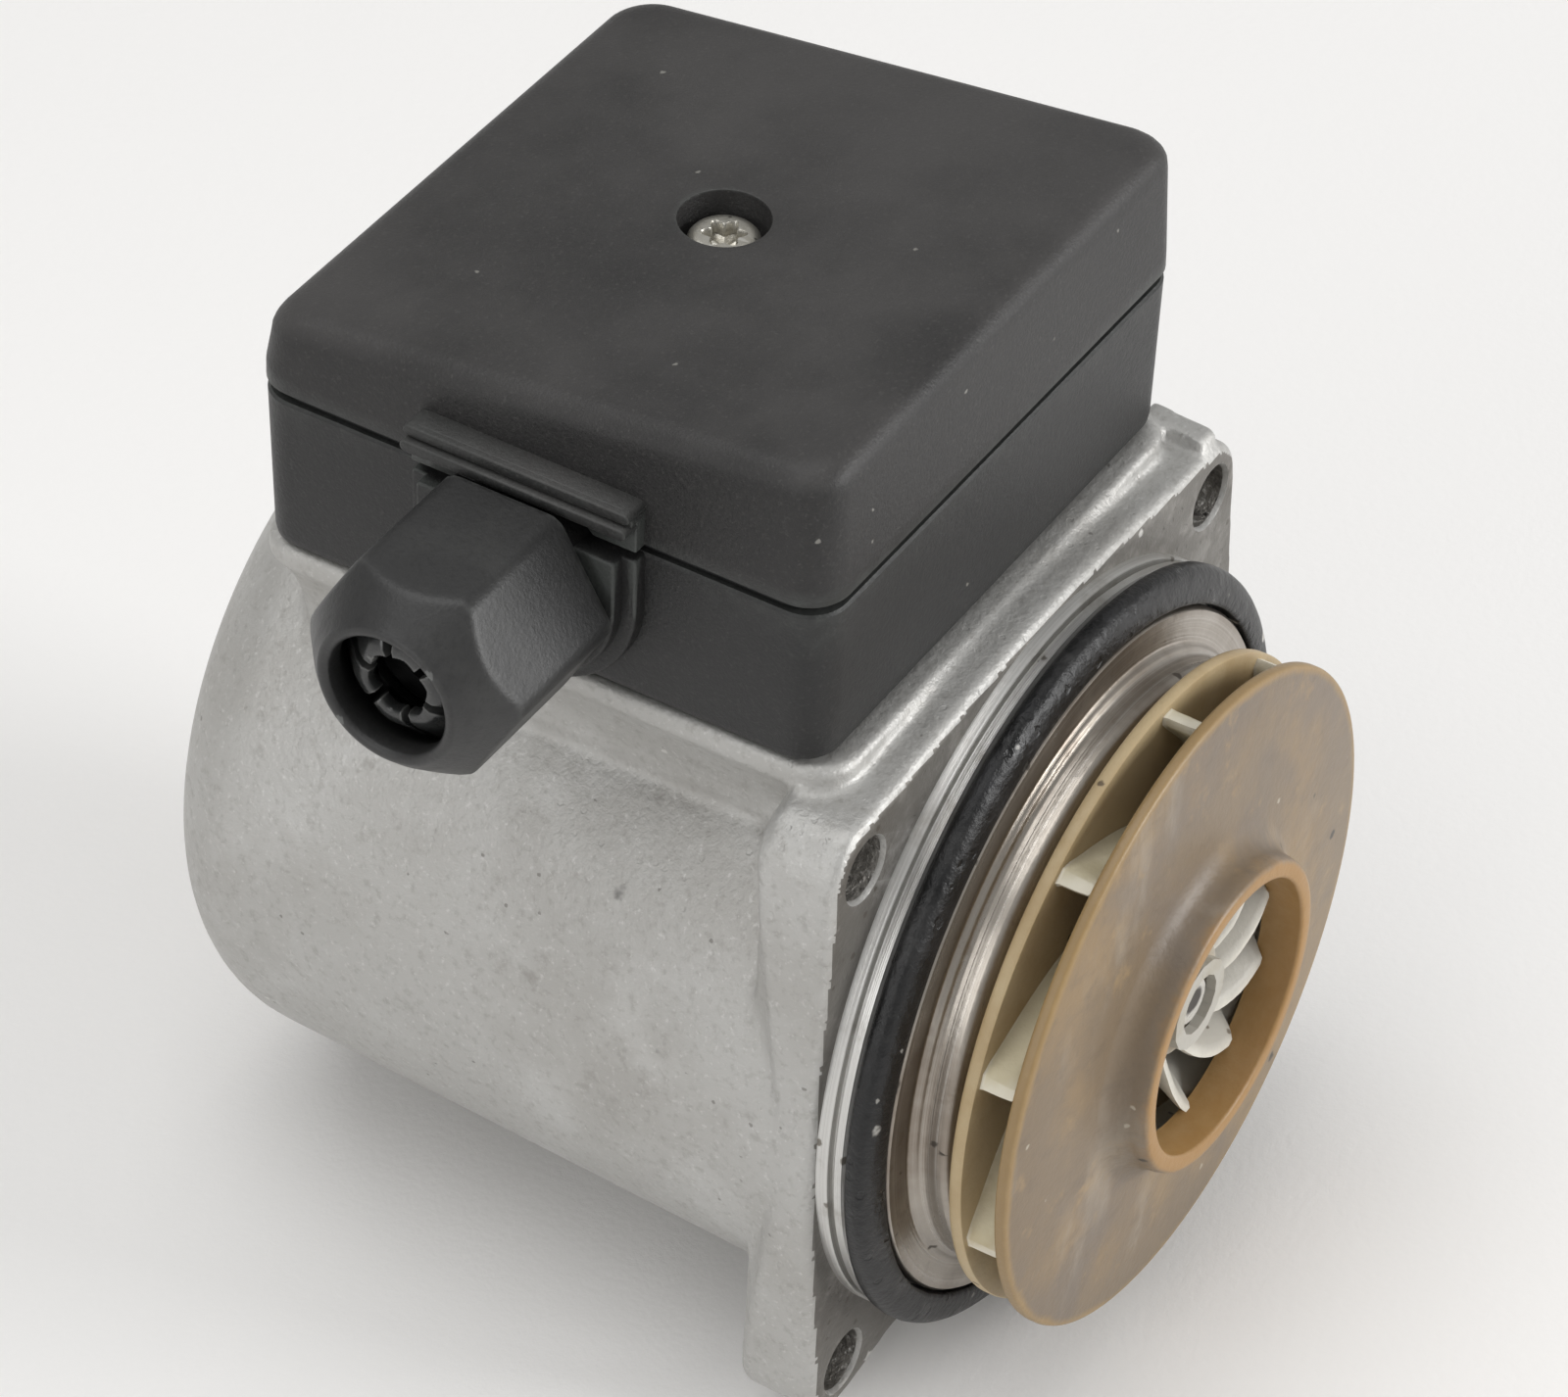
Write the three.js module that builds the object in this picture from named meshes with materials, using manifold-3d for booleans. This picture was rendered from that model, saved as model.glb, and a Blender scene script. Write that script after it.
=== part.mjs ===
// Wet-rotor circulator pump head: motor housing, terminal box, cable gland, bearing plate and impeller.
// Millimetres, +Z up. Everything is drawn about the shaft axis (along Y, impeller at -Y, flange face y = 0)
// and moved at the end by ORIGIN, so that it rests on z = 0 with its bounding box centred over the origin.
import * as THREE from "three";
import { mergeVertices } from "three/addons/utils/BufferGeometryUtils.js";
import Module from "manifold-3d";

// ---- driving dimensions -----------------------------------------------------------------------------
const GAP = 0.3; // clearance left between touching pieces
const ARC = 42; // segments in a large circle
const MID_ARC = 24; // segments in a middling circle
const SMALL_ARC = 14; // segments in a small circle
const ORIGIN = { x: 8.15, y: -31.5, z: 41.6 }; // where the shaft axis at the flange face ends up

const FLANGE = { half: 41.6, lobe: 6, depth: 8, edge: 0.8, ear: 33.5, hole: 3.4 };
const FLANGE_BOW = [[11, 0.4], [21, 1.3]]; // [distance from a side's middle, how far the side has drawn in]
// Lower edge from an ear towards the middle, as [x, z] with both signs dropped.
const FLANGE_HOLLOW = [[28.5, 38.9], [24, 38.2], [19.5, 38.5], [14, 39.6], [9, 40.8], [4, 41.6]];
const CAN = { front: 41.4, rear: 39.4, end: 82, edge: 12, inner: 37, wallRear: 5.5, taperFrom: 8 };
const REGISTER = { outer: 40.6, groove: 39.7, tip: 40.4, grooveFrom: -1.3, grooveTo: -1.9, face: -3 };
const BORE = { r: 34.4, to: 4 };
const VENT = { shank: 5, head: 8.4, headH: 3, slotW: 1.6, slotD: 1.4, from: 76.4, lift: 1.5 };
const PLATFORM = { half: 32.9, neck: 29, y0: 4, y1: 71, top: 41.9, lip: 2.6, root: 24, draft: 0.00015 };
const LUG = { x: 34.2, y: 0.9, w: 3.2, d: 6.9, root: 37.6, top: 40.6 };
const CABLE_PORT = { x: 0, y: 16, r: 5 };
const FIXING = { x: 26, y: 30, r: 1.6, head: 3.2, headH: 2, length: 9 };

const BOX = { halfX: 33.5, y0: 5.5, y1: 70.1, bottom: 42.25, part: 61.4, wall: 2.2, corner: 5 };
const LID = { front: 76.9, rear: 69.4, gap: 0.9, edge: 3.2 };
const BOX_MID_Y = (BOX.y0 + BOX.y1) / 2;
const POST_TOP = 15; // height of the lid screw's post over the underside of the box
const SCREW = { recess: 4.6, head: 3.65, headH: 2.8, shank: 2, depth: 2.2, boss: 6.4, length: 22 };

const GLAND = { y: 37.8, z: 54.3, snoutOuter: 9.2, snoutInner: 5.8, mouth: 7.6 };
const GLAND_X = { wall: -36.4, snout: -49, nutBack: -37.6, nutFront: -57.8 };
const NUT = { flats: 21, corner: 1.2, bore: 9.6, nose: 7.7, opening: 6.5, coneAngle: 40 };
const COLLAR = { half: 12.6, step: 1.5, outer: 1.3, inner: 2.9 };
const VISOR = { z0: 63.9, z1: 66.7, reach: 2.9, groove: 0.8 };

const SEAL = { outer: 41.1, inner: 37.4, back: -3.3, front: -6.2, edge: -4 };
const PLATE = { outer: 37.05, face: -6, back: -4.2, step: 33.2, boss: 32.4, bossFace: -10.4, sheet: 1.2 };
const HUB = { outer: 9.6, inner: 8.3, to: 14 };
const BEARING = { bore: 4.3, outer: 8, length: 10 };
const SHAFT = { r: 4, nose: 3, front: -19.2, shoulder: -10, rear: 75.1 };
const ROTOR = { r: 15.8, y0: 24, y1: 58 };
const ROTOR_CAN = { inner: 16.6, wall: 0.6, end: 76.1, hole: 3, flange: 36.8, face: -3.9, back: -3.3 };
const STATOR = { outer: 36.7, inner: 17.6, y0: 23, y1: 59, slots: 12, slotW: 3.4, slotR: 27 };
const COIL = { inner: 18.4, outer: 32.6, height: 9.4 };

const IMPELLER = { r: 34.9, back: -11.5, web: -13, rimIn: -17, rimOut: -18.4, rimR: 35.6, vanes: 10 };
const NECK = { inner: 14.9, outer: 16.9, front: -23.5, fillet: 3.2 };
const VANE = { from: 6, to: 34.3, wrap: 88, inletT: 1.1, tipT: 2.4, steps: 5, phase: 160 };
const EYE_HUB = { r: 6.4, front: -18.6 };

// ---- helpers ----------------------------------------------------------------------------------------
const wasm = await Module();
wasm.setup();

// Geometry to a manifold solid, turned the right way out whichever way its profile ran.
function solid(geometry) {
  const g = geometry.clone();
  g.deleteAttribute("normal");
  g.deleteAttribute("uv");
  const merged = mergeVertices(g, 1e-4);
  const vertProperties = new Float32Array(merged.attributes.position.array);
  const triVerts = new Uint32Array(merged.index.array);
  const made = new wasm.Manifold(new wasm.Mesh({ numProp: 3, vertProperties, triVerts }));
  if (made.volume() > 0) return made;
  for (let i = 0; i < triVerts.length; i += 3)
    [triVerts[i + 1], triVerts[i + 2]] = [triVerts[i + 2], triVerts[i + 1]];
  return new wasm.Manifold(new wasm.Mesh({ numProp: 3, vertProperties, triVerts }));
}

function toGeometry(body) {
  const mesh = body.getMesh();
  const geometry = new THREE.BufferGeometry();
  const points = new Float32Array((mesh.vertProperties.length / mesh.numProp) * 3);
  for (let i = 0; i < points.length / 3; i++)
    for (let k = 0; k < 3; k++) points[3 * i + k] = mesh.vertProperties[mesh.numProp * i + k];
  geometry.setAttribute("position", new THREE.BufferAttribute(points, 3));
  geometry.setIndex(new THREE.BufferAttribute(new Uint32Array(mesh.triVerts), 1));
  geometry.computeVertexNormals();
  return geometry;
}

const join = (...bodies) => bodies.reduce((a, b) => a.add(b));
const cut = (body, ...tools) => tools.reduce((a, b) => a.subtract(b), body);

// Solid of revolution about the shaft axis; the profile is a list of [radius, y].
const turned = (profile, segments = ARC) =>
  solid(new THREE.LatheGeometry(profile.map(([r, y]) => new THREE.Vector2(r, y)), segments));
const disc = (r, y0, y1, segments = ARC) => turned([[0, y0], [r, y0], [r, y1], [0, y1]], segments);
const tube = (inner, outer, y0, y1, segments = ARC) =>
  turned([[inner, y0], [outer, y0], [outer, y1], [inner, y1], [inner, y0]], segments);

function box(x0, x1, y0, y1, z0, z1) {
  const g = new THREE.BoxGeometry(x1 - x0, y1 - y0, z1 - z0);
  return solid(g.translate((x0 + x1) / 2, (y0 + y1) / 2, (z0 + z1) / 2));
}

// A body made about Y, turned so that its axis runs along X or Z, then moved.
const TURN_TO = {
  "-x": new THREE.Matrix4().makeRotationZ(Math.PI / 2),
  "+z": new THREE.Matrix4().makeRotationX(Math.PI / 2),
  "-z": new THREE.Matrix4().makeRotationX(-Math.PI / 2),
  y: new THREE.Matrix4(),
};
function placed(body, axis, x, y, z) {
  return solid(toGeometry(body).applyMatrix4(TURN_TO[axis]).translate(x, y, z));
}

// Rounded rectangle as a ring of points, half sizes hx and hy about (cx, cy).
function roundedRing(hx, hy, r, z, cx = 0, cy = 0, perCorner = 4) {
  const ring = [];
  for (const [sx, sy, start] of [[1, 1, 0], [-1, 1, 90], [-1, -1, 180], [1, -1, 270]])
    for (let i = 0; i <= perCorner; i++) {
      const a = THREE.MathUtils.degToRad(start + (90 * i) / perCorner);
      const x = cx + sx * (hx - r) + r * Math.cos(a);
      ring.push(new THREE.Vector3(x, cy + sy * (hy - r) + r * Math.sin(a), z));
    }
  return ring;
}

// Closed skin over rings that hold the same number of points, with flat ends.
function loft(rings) {
  const n = rings[0].length;
  const points = rings.flat();
  const centre = (ring) => ring.reduce((s, p) => s.add(p), new THREE.Vector3()).divideScalar(n);
  points.push(centre(rings[0]), centre(rings[rings.length - 1]));
  const index = [];
  for (let k = 0; k + 1 < rings.length; k++)
    for (let i = 0; i < n; i++) {
      const [a, b] = [k * n + i, k * n + ((i + 1) % n)];
      index.push(a, b, b + n, a, b + n, a + n);
    }
  const last = (rings.length - 1) * n;
  for (let i = 0; i < n; i++) {
    index.push(points.length - 2, (i + 1) % n, i);
    index.push(points.length - 1, last + i, last + ((i + 1) % n));
  }
  const geometry = new THREE.BufferGeometry().setFromPoints(points);
  geometry.setIndex(index);
  return solid(geometry);
}

// Flat outline in X and Z, extruded along Y from y0 to y1.
function slab(shape, y0, y1, bevel = 0) {
  const options = { depth: y1 - y0 - 2 * bevel, curveSegments: 6, bevelEnabled: bevel > 0 };
  Object.assign(options, { bevelSize: bevel, bevelThickness: bevel, bevelOffset: -bevel, bevelSegments: 1 });
  const g = new THREE.ExtrudeGeometry(shape, options);
  return solid(g.rotateX(Math.PI / 2).translate(0, y1 - bevel, 0));
}

// Flange outline: sides bowed out to the can's circle, an ear at each corner, hollows beside the lower ears.
function flangeShape() {
  const { half, ear, lobe } = FLANGE;
  const points = [];
  const corner = (sx, sz, from, to) => {
    for (let i = 0; i <= 8; i++) {
      const a = THREE.MathUtils.degToRad(from + ((to - from) * i) / 8);
      points.push([sx * ear + lobe * Math.cos(a), sz * ear + lobe * Math.sin(a)]);
    }
  };
  const bow = [...FLANGE_BOW].reverse();
  corner(1, 1, 5, 85);
  points.push(...bow.map(([d, inwards]) => [d, half - inwards]), [0, half]);
  points.push(...FLANGE_BOW.map(([d, inwards]) => [-d, half - inwards]));
  corner(-1, 1, 95, 175);
  points.push(...bow.map(([d, inwards]) => [-half + inwards, d]), [-half, 0]);
  points.push(...FLANGE_BOW.map(([d, inwards]) => [-half + inwards, -d]));
  corner(-1, -1, 185, 265);
  points.push(...FLANGE_HOLLOW.map(([x, z]) => [-x, -z]));
  points.push(...[...FLANGE_HOLLOW].reverse().map(([x, z]) => [x, -z]));
  corner(1, -1, 275, 355);
  points.push(...bow.map(([d, inwards]) => [half - inwards, -d]), [half, 0]);
  points.push(...FLANGE_BOW.map(([d, inwards]) => [half - inwards, d]));
  return new THREE.Shape(points.map(([x, z]) => new THREE.Vector2(x, z)));
}

// Tube of radius r along a smooth curve through the points.
function wire(points, r) {
  const path = new THREE.CatmullRomCurve3(points.map((p) => new THREE.Vector3(...p)));
  const circle = new THREE.Shape().absarc(0, 0, r, 0, 2 * Math.PI, false);
  const options = { steps: 12, extrudePath: path, bevelEnabled: false, curveSegments: 4 };
  return solid(new THREE.ExtrudeGeometry(circle, options));
}

const group = new THREE.Group();
function addPart(name, body, color, metalness = 0, roughness = 0.6) {
  const geometry = toGeometry(body).translate(ORIGIN.x, ORIGIN.y, ORIGIN.z);
  const mesh = new THREE.Mesh(geometry, new THREE.MeshStandardMaterial({ color, metalness, roughness }));
  mesh.name = name;
  group.add(mesh);
}

// ---- housing ----------------------------------------------------------------------------------------
function statorHousing() {
  const edge = [];
  for (let i = 0; i <= 5; i++) {
    const a = (Math.PI / 2) * (i / 5);
    edge.push([CAN.rear - CAN.edge * (1 - Math.cos(a)), CAN.end - CAN.edge * (1 - Math.sin(a))]);
  }
  const can = turned([[0, 1], [CAN.front - 2, 1], [CAN.front, CAN.taperFrom], ...edge, [0, CAN.end]]);
  const flange = slab(flangeShape(), 0, FLANGE.depth, FLANGE.edge);
  const register = turned([
    [0, 1], [REGISTER.outer, 1], [REGISTER.outer, REGISTER.grooveFrom],
    [REGISTER.groove, REGISTER.grooveFrom], [REGISTER.groove, REGISTER.grooveTo],
    [REGISTER.tip, REGISTER.grooveTo], [REGISTER.tip, REGISTER.face], [0, REGISTER.face],
  ]);
  let body = join(can, flange, register, platform(), lug());
  for (const sx of [-1, 1])
    for (const sz of [-1, 1])
      body = body.subtract(
        placed(disc(FLANGE.hole, -1, 13, SMALL_ARC), "y", sx * FLANGE.ear, 0, sz * FLANGE.ear));
  const cavity = turned([
    [0, REGISTER.face - 1], [BORE.r, REGISTER.face - 1], [BORE.r, BORE.to], [CAN.inner, BORE.to + 2],
    [CAN.inner, CAN.end - CAN.edge], [CAN.inner - 8, CAN.end - CAN.wallRear], [0, CAN.end - CAN.wallRear],
  ]);
  const ventHole = disc(VENT.shank + GAP, CAN.end - 8, CAN.end + 1, SMALL_ARC);
  const port = placed(disc(CABLE_PORT.r, -20, 0, SMALL_ARC), "+z", CABLE_PORT.x, CABLE_PORT.y, 50);
  body = cut(body, cavity, ventHole, port);
  for (const side of [-1, 1]) body = body.subtract(screwHole(side));
  return body;
}

// Raised pad that carries the terminal box: a flared neck out of the can, under an upright lip.
function platform() {
  const { half, neck, y0, y1, top, lip, root, draft } = PLATFORM;
  // Casting draft: the sides draw in slightly towards the rear.
  const drafted = (p) => new THREE.Vector3(p.x * (1 - draft * (p.y - y0)), p.y, p.z);
  const ring = (hx, inset, z) =>
    roundedRing(hx, (y1 - y0) / 2 - inset, 4.5, z, 0, (y0 + y1) / 2).map(drafted);
  return loft([
    ring(neck - 1, 1.5, root), ring(neck + 0.4, 1.5, top - 10.5), ring(half - 0.8, 0.6, top - lip - 0.9),
    ring(half, 0, top - lip), ring(half, 0, top - 0.5), ring(half - 0.5, 0.5, top),
  ]);
}

// Small cast rib that stands on the flange beside the upper ear.
const lug = () =>
  box(LUG.x - LUG.w / 2, LUG.x + LUG.w / 2, LUG.y, LUG.y + LUG.d, LUG.root, LUG.top);

const screwHole = (side) =>
  placed(disc(FIXING.r + GAP, -4, 8, SMALL_ARC), "-z", side * FIXING.x, FIXING.y, PLATFORM.top);

function ventPlug() {
  const y = CAN.end + VENT.lift;
  const plug = turned([
    [0, VENT.from], [VENT.shank, VENT.from], [VENT.shank, y], [VENT.head, y],
    [VENT.head, y + VENT.headH - 0.6], [VENT.head - 0.6, y + VENT.headH], [0, y + VENT.headH],
  ], 36);
  return cut(plug, box(-10, 10, y + VENT.headH - VENT.slotD, y + 9, -VENT.slotW / 2, VENT.slotW / 2));
}

// ---- terminal box -----------------------------------------------------------------------------------
function boxRing(inset, z, extra = 0) {
  const corner = BOX.corner - Math.min(inset, 3) + extra;
  return roundedRing(BOX.halfX - inset, (BOX.y1 - BOX.y0) / 2 - inset, corner, z, 0, BOX_MID_Y);
}

// U-shaped outline of the cable collar, open upwards, seen along X (shape x is y, shape y is z).
function collarShape(half, top) {
  const shape = new THREE.Shape();
  shape.moveTo(GLAND.y - half, top);
  shape.absarc(GLAND.y, GLAND.z, half, Math.PI, 2 * Math.PI, false);
  shape.lineTo(GLAND.y + half, top);
  return shape;
}
// A shape drawn in (y, z), extruded along X from x0 to x1.
function sideSlab(shape, x0, x1, curveSegments = 12) {
  const g = new THREE.ExtrudeGeometry(shape, { depth: x1 - x0, bevelEnabled: false, curveSegments });
  const turn = new THREE.Matrix4().set(0, 0, 1, x0, 1, 0, 0, 0, 0, 1, 0, 0, 0, 0, 0, 1);
  return solid(g.applyMatrix4(turn));
}

function terminalBoxBase() {
  const top = BOX.part - LID.gap;
  let body = loft([
    boxRing(1.6, BOX.bottom), boxRing(0.6, BOX.bottom + 0.7), boxRing(0.35, BOX.bottom + 2),
    boxRing(0.1, top),
  ]);
  const collar = join(
    sideSlab(collarShape(COLLAR.half, top), -BOX.halfX - COLLAR.outer, -BOX.halfX + 2),
    sideSlab(collarShape(COLLAR.half - COLLAR.step, top), -BOX.halfX - COLLAR.inner, -BOX.halfX + 2),
  );
  body = body.add(collar.intersect(box(-60, 0, 0, 90, BOX.bottom, top)));
  body = body.add(glandCylinder(GLAND.snoutOuter, GLAND_X.snout, GLAND_X.wall + 0.6));
  body = body.subtract(loft([
    boxRing(BOX.wall + 0.4, BOX.bottom + 2.4), boxRing(BOX.wall + 0.1, top + 1),
  ]));
  body = body.subtract(glandCylinder(GLAND.snoutInner, GLAND_X.snout - 1, -BOX.halfX + 6));
  body = body.subtract(glandCylinder(GLAND.mouth, GLAND_X.snout - 1, GLAND_X.snout + 7));
  // A tongue round the rim carries the gasket; a post in the middle takes the lid screw.
  body = body.add(placed(disc(SCREW.boss, 1, POST_TOP, SMALL_ARC), "+z", 0, BOX_MID_Y, BOX.bottom));
  body = body.subtract(placed(disc(SCREW.shank + GAP, 4, 20, SMALL_ARC), "+z", 0, BOX_MID_Y, BOX.bottom));
  for (const side of [-1, 1]) body = body.subtract(screwHole(side));
  return body.subtract(placed(disc(CABLE_PORT.r, -12, 5, SMALL_ARC), "+z", CABLE_PORT.x, CABLE_PORT.y, 42));
}
const glandCylinder = (r, x0, x1) => placed(disc(r, -x1, -x0, MID_ARC), "-x", 0, GLAND.y, GLAND.z);

const slope = (y) => LID.front + ((LID.rear - LID.front) * (y - BOX.y0)) / (BOX.y1 - BOX.y0);
// The lid's upper rings follow its sloping top.
const tilted = (ring, drop) => ring.map((p) => new THREE.Vector3(p.x, p.y, slope(p.y) - drop));

function terminalBoxLid() {
  const z0 = BOX.part;
  const outer = loft([
    boxRing(0, z0), tilted(boxRing(0.35, 0), LID.edge + 1), tilted(boxRing(0.7, 0), LID.edge - 1),
    tilted(boxRing(1.5, 0), 1.2), tilted(boxRing(2.8, 0), 0.45), tilted(boxRing(6, 0), 0.1),
    tilted(boxRing(14, 0, 4), 0),
  ]);
  const inner = loft([
    boxRing(BOX.wall, z0 - 1), tilted(boxRing(BOX.wall + 0.2, 0), LID.edge + 2),
    tilted(boxRing(BOX.wall + 1.6, 0), BOX.wall),
  ]);
  let body = outer.subtract(inner).add(visor());
  const deck = slope(BOX_MID_Y);
  const boss = placed(disc(SCREW.boss, 1, deck - z0 + 1, SMALL_ARC), "-z", 0, BOX_MID_Y, deck);
  body = body.add(boss);
  const recess = disc(SCREW.recess, -3, SCREW.depth + SCREW.headH, MID_ARC);
  body = body.subtract(placed(recess, "-z", 0, BOX_MID_Y, deck));
  return body.subtract(placed(disc(SCREW.shank + GAP, -3, 20, SMALL_ARC), "-z", 0, BOX_MID_Y, deck));
}

// Double-ridged hood over the gland, rounded at both ends.
function visor() {
  const [half, mid, r] = [COLLAR.half, (VISOR.z0 + VISOR.z1) / 2, (VISOR.z1 - VISOR.z0) / 2];
  const pill = (rr, hh) => {
    const shape = new THREE.Shape();
    shape.absarc(GLAND.y - hh + r, mid, rr, Math.PI / 2, (3 * Math.PI) / 2, false);
    shape.absarc(GLAND.y + hh - r, mid, rr, -Math.PI / 2, Math.PI / 2, false);
    return shape;
  };
  const hood = sideSlab(pill(r, half), -BOX.halfX - VISOR.reach, -BOX.halfX + 1.2, 6);
  const front = -BOX.halfX - VISOR.reach;
  const groove = sideSlab(pill(0.35, half - 0.8), front - 1, front + VISOR.groove, 4);
  const apron = sideSlab(new THREE.Shape([
    new THREE.Vector2(GLAND.y - half, BOX.part), new THREE.Vector2(GLAND.y + half, BOX.part),
    new THREE.Vector2(GLAND.y + half, mid), new THREE.Vector2(GLAND.y - half, mid),
  ]), -BOX.halfX - COLLAR.outer, -BOX.halfX + 1.2);
  const arch = glandCylinder(COLLAR.half - COLLAR.step - 0.6, -60, -BOX.halfX - 0.2);
  return join(hood.subtract(groove), apron.subtract(arch));
}

function lidScrew() {
  const deck = slope(BOX_MID_Y) - SCREW.depth;
  const head = turned([
    [0, 0], [SCREW.head - 0.9, 0], [SCREW.head, 0.8], [SCREW.head, SCREW.headH - GAP],
    [SCREW.shank, SCREW.headH - GAP], [SCREW.shank, SCREW.length - 1], [SCREW.shank - 0.8, SCREW.length],
    [0, SCREW.length],
  ], 24);
  const body = placed(head, "-z", 0, BOX_MID_Y, deck);
  const lobe = placed(disc(0.62, -1, 1.5, 8), "-z", 0, 0, 0);
  let star = placed(disc(1.35, -1, 1.5, 12), "-z", 0, 0, 0);
  for (let i = 0; i < 6; i++) {
    const a = (Math.PI / 3) * i;
    star = star.add(lobe.translate([1.3 * Math.cos(a), 1.3 * Math.sin(a), 0]));
  }
  return body.subtract(star.translate([0, BOX_MID_Y, deck]));
}

function lidGasket() {
  const ring = (inset, z) => boxRing(inset, z);
  const [z0, z1] = [BOX.part - LID.gap + 0.12, BOX.part - 0.12];
  return loft([ring(0.9, z0), ring(0.9, z1)]).subtract(loft([ring(2.1, z0 - 1), ring(2.1, z1 + 1)]));
}

// ---- cable gland ------------------------------------------------------------------------------------
function glandNut() {
  const { nutBack, nutFront } = GLAND_X;
  const R = NUT.flats / Math.sqrt(3);
  const shape = new THREE.Shape();
  for (let i = 0; i < 6; i++) {
    const a = (Math.PI / 3) * i;
    const reach = R - NUT.corner / Math.cos(Math.PI / 6);
    const [cy, cz] = [GLAND.y + reach * Math.cos(a), GLAND.z + reach * Math.sin(a)];
    shape.absarc(cy, cz, NUT.corner, a - Math.PI / 6, a + Math.PI / 6, false);
  }
  const hex = sideSlab(shape, nutFront, nutBack, 4);
  const length = -nutFront + nutBack;
  const rise = (R - NUT.nose) / Math.tan(THREE.MathUtils.degToRad(NUT.coneAngle));
  const cone = turned([
    [0, 0], [R + 1, 0], [R + 1, length - rise - 1.2], [R, length - rise], [NUT.nose + 1.2, length - 1.3],
    [NUT.nose, length - 0.4], [NUT.nose - 0.6, length], [0, length],
  ], MID_ARC);
  const bore = turned([
    [0, -1], [NUT.bore, -1], [NUT.bore, 12.4], [NUT.bore - 0.6, 14], [NUT.opening, 18.4],
    [NUT.opening, 22], [0, 22],
  ], MID_ARC);
  return hex.intersect(placed(cone, "-x", nutBack, GLAND.y, GLAND.z))
    .subtract(placed(bore, "-x", nutBack, GLAND.y, GLAND.z));
}

// Ring with six fingers that the nut's nose bends inwards on to the cable.
function glandCage() {
  const start = 11.9; // distance of the ring's back face from the nut's back face
  const shell = turned([
    [7.2, start], [9.2, start], [9.2, start + 0.6], [6.1, start + 4.9], [4.9, start + 6], [3.3, start + 6.1],
    [3.3, start + 4.6], [4.6, start + 4.4], [7.2, start + 1.2], [7.2, start],
  ], MID_ARC);
  let body = placed(shell, "-x", GLAND_X.nutBack, GLAND.y, GLAND.z);
  const x = GLAND_X.nutBack - start;
  for (let i = 0; i < 3; i++) {
    const slot = new THREE.BoxGeometry(8, 30, 1.1).rotateX((Math.PI / 3) * i + 0.26);
    body = body.subtract(solid(slot.translate(x - 1.6 - 4, GLAND.y, GLAND.z)));
  }
  return body;
}

function glandSeal() {
  const ring = turned([[4.2, 0.3], [7.3, 0.3], [7.3, 6.6], [6.4, 8], [4.2, 8], [4.2, 0.3]], MID_ARC);
  return placed(ring, "-x", GLAND_X.snout + 7, GLAND.y, GLAND.z);
}

// ---- motor front: seal, plate, bearings ---------------------------------------------------------------
const sealRing = () => turned([
  [SEAL.inner, SEAL.back], [SEAL.outer - 0.3, SEAL.back], [SEAL.outer, SEAL.edge], [SEAL.outer - 0.5, -5.4],
  [39.6, -6.1], [38.4, SEAL.front], [SEAL.inner + 0.2, -5.9], [SEAL.inner, -5.6], [SEAL.inner, SEAL.back],
]);

// Drawn stainless plate: flat rim, step, raised boss and a hub that holds the front bearing.
function bearingPlate() {
  const { outer, face, back, step, boss, bossFace, sheet } = PLATE;
  return turned([
    [outer - 0.4, back], [outer, back - 0.4], [outer, face + 0.5], [outer - 0.5, face], [step + 0.3, face],
    [step, face - 0.6], [boss + 0.7, face - 0.9], [boss, face - 1.7], [boss - 0.5, bossFace + 1],
    [boss - 1.6, bossFace], [HUB.inner, bossFace],
    [HUB.inner - 3.2, bossFace + 0.3], [HUB.inner - 3.2, bossFace + 1.6],
    [HUB.inner, bossFace + 1.8], [HUB.inner, HUB.to], [HUB.outer, HUB.to], [HUB.outer, bossFace + sheet],
    [boss - 2.2, bossFace + sheet], [boss - 2.2, back], [outer - 0.4, back],
  ]);
}
const bush = (y) => tube(BEARING.bore, BEARING.outer, y, y + BEARING.length, MID_ARC);

function rotorCan() {
  const { inner, wall, end, hole, flange, face, back } = ROTOR_CAN;
  return turned([
    [inner, face], [flange, face], [flange, back], [inner + wall, back], [inner + wall, 63.4],
    [HUB.outer, 65], [HUB.outer, end], [hole, end], [hole, end - wall], [HUB.inner, end - wall],
    [HUB.inner, 64.6], [inner, 63], [inner, face],
  ], MID_ARC);
}

// ---- rotor ------------------------------------------------------------------------------------------
function shaft() {
  return turned([
    [0, SHAFT.front], [SHAFT.nose - 0.5, SHAFT.front], [SHAFT.nose, SHAFT.front + 0.5],
    [SHAFT.nose, SHAFT.shoulder], [SHAFT.r, SHAFT.shoulder], [SHAFT.r, SHAFT.rear - 0.5],
    [SHAFT.r - 0.5, SHAFT.rear], [0, SHAFT.rear],
  ], SMALL_ARC);
}
function rotorCore() {
  const core = tube(SHAFT.r + GAP, ROTOR.r, ROTOR.y0, ROTOR.y1, MID_ARC);
  const end = (y0, y1) => tube(8, ROTOR.r - 1.4, y0, y1, MID_ARC);
  return join(core, end(ROTOR.y0 - 3, ROTOR.y0 + 1), end(ROTOR.y1 - 1, ROTOR.y1 + 3));
}

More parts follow.
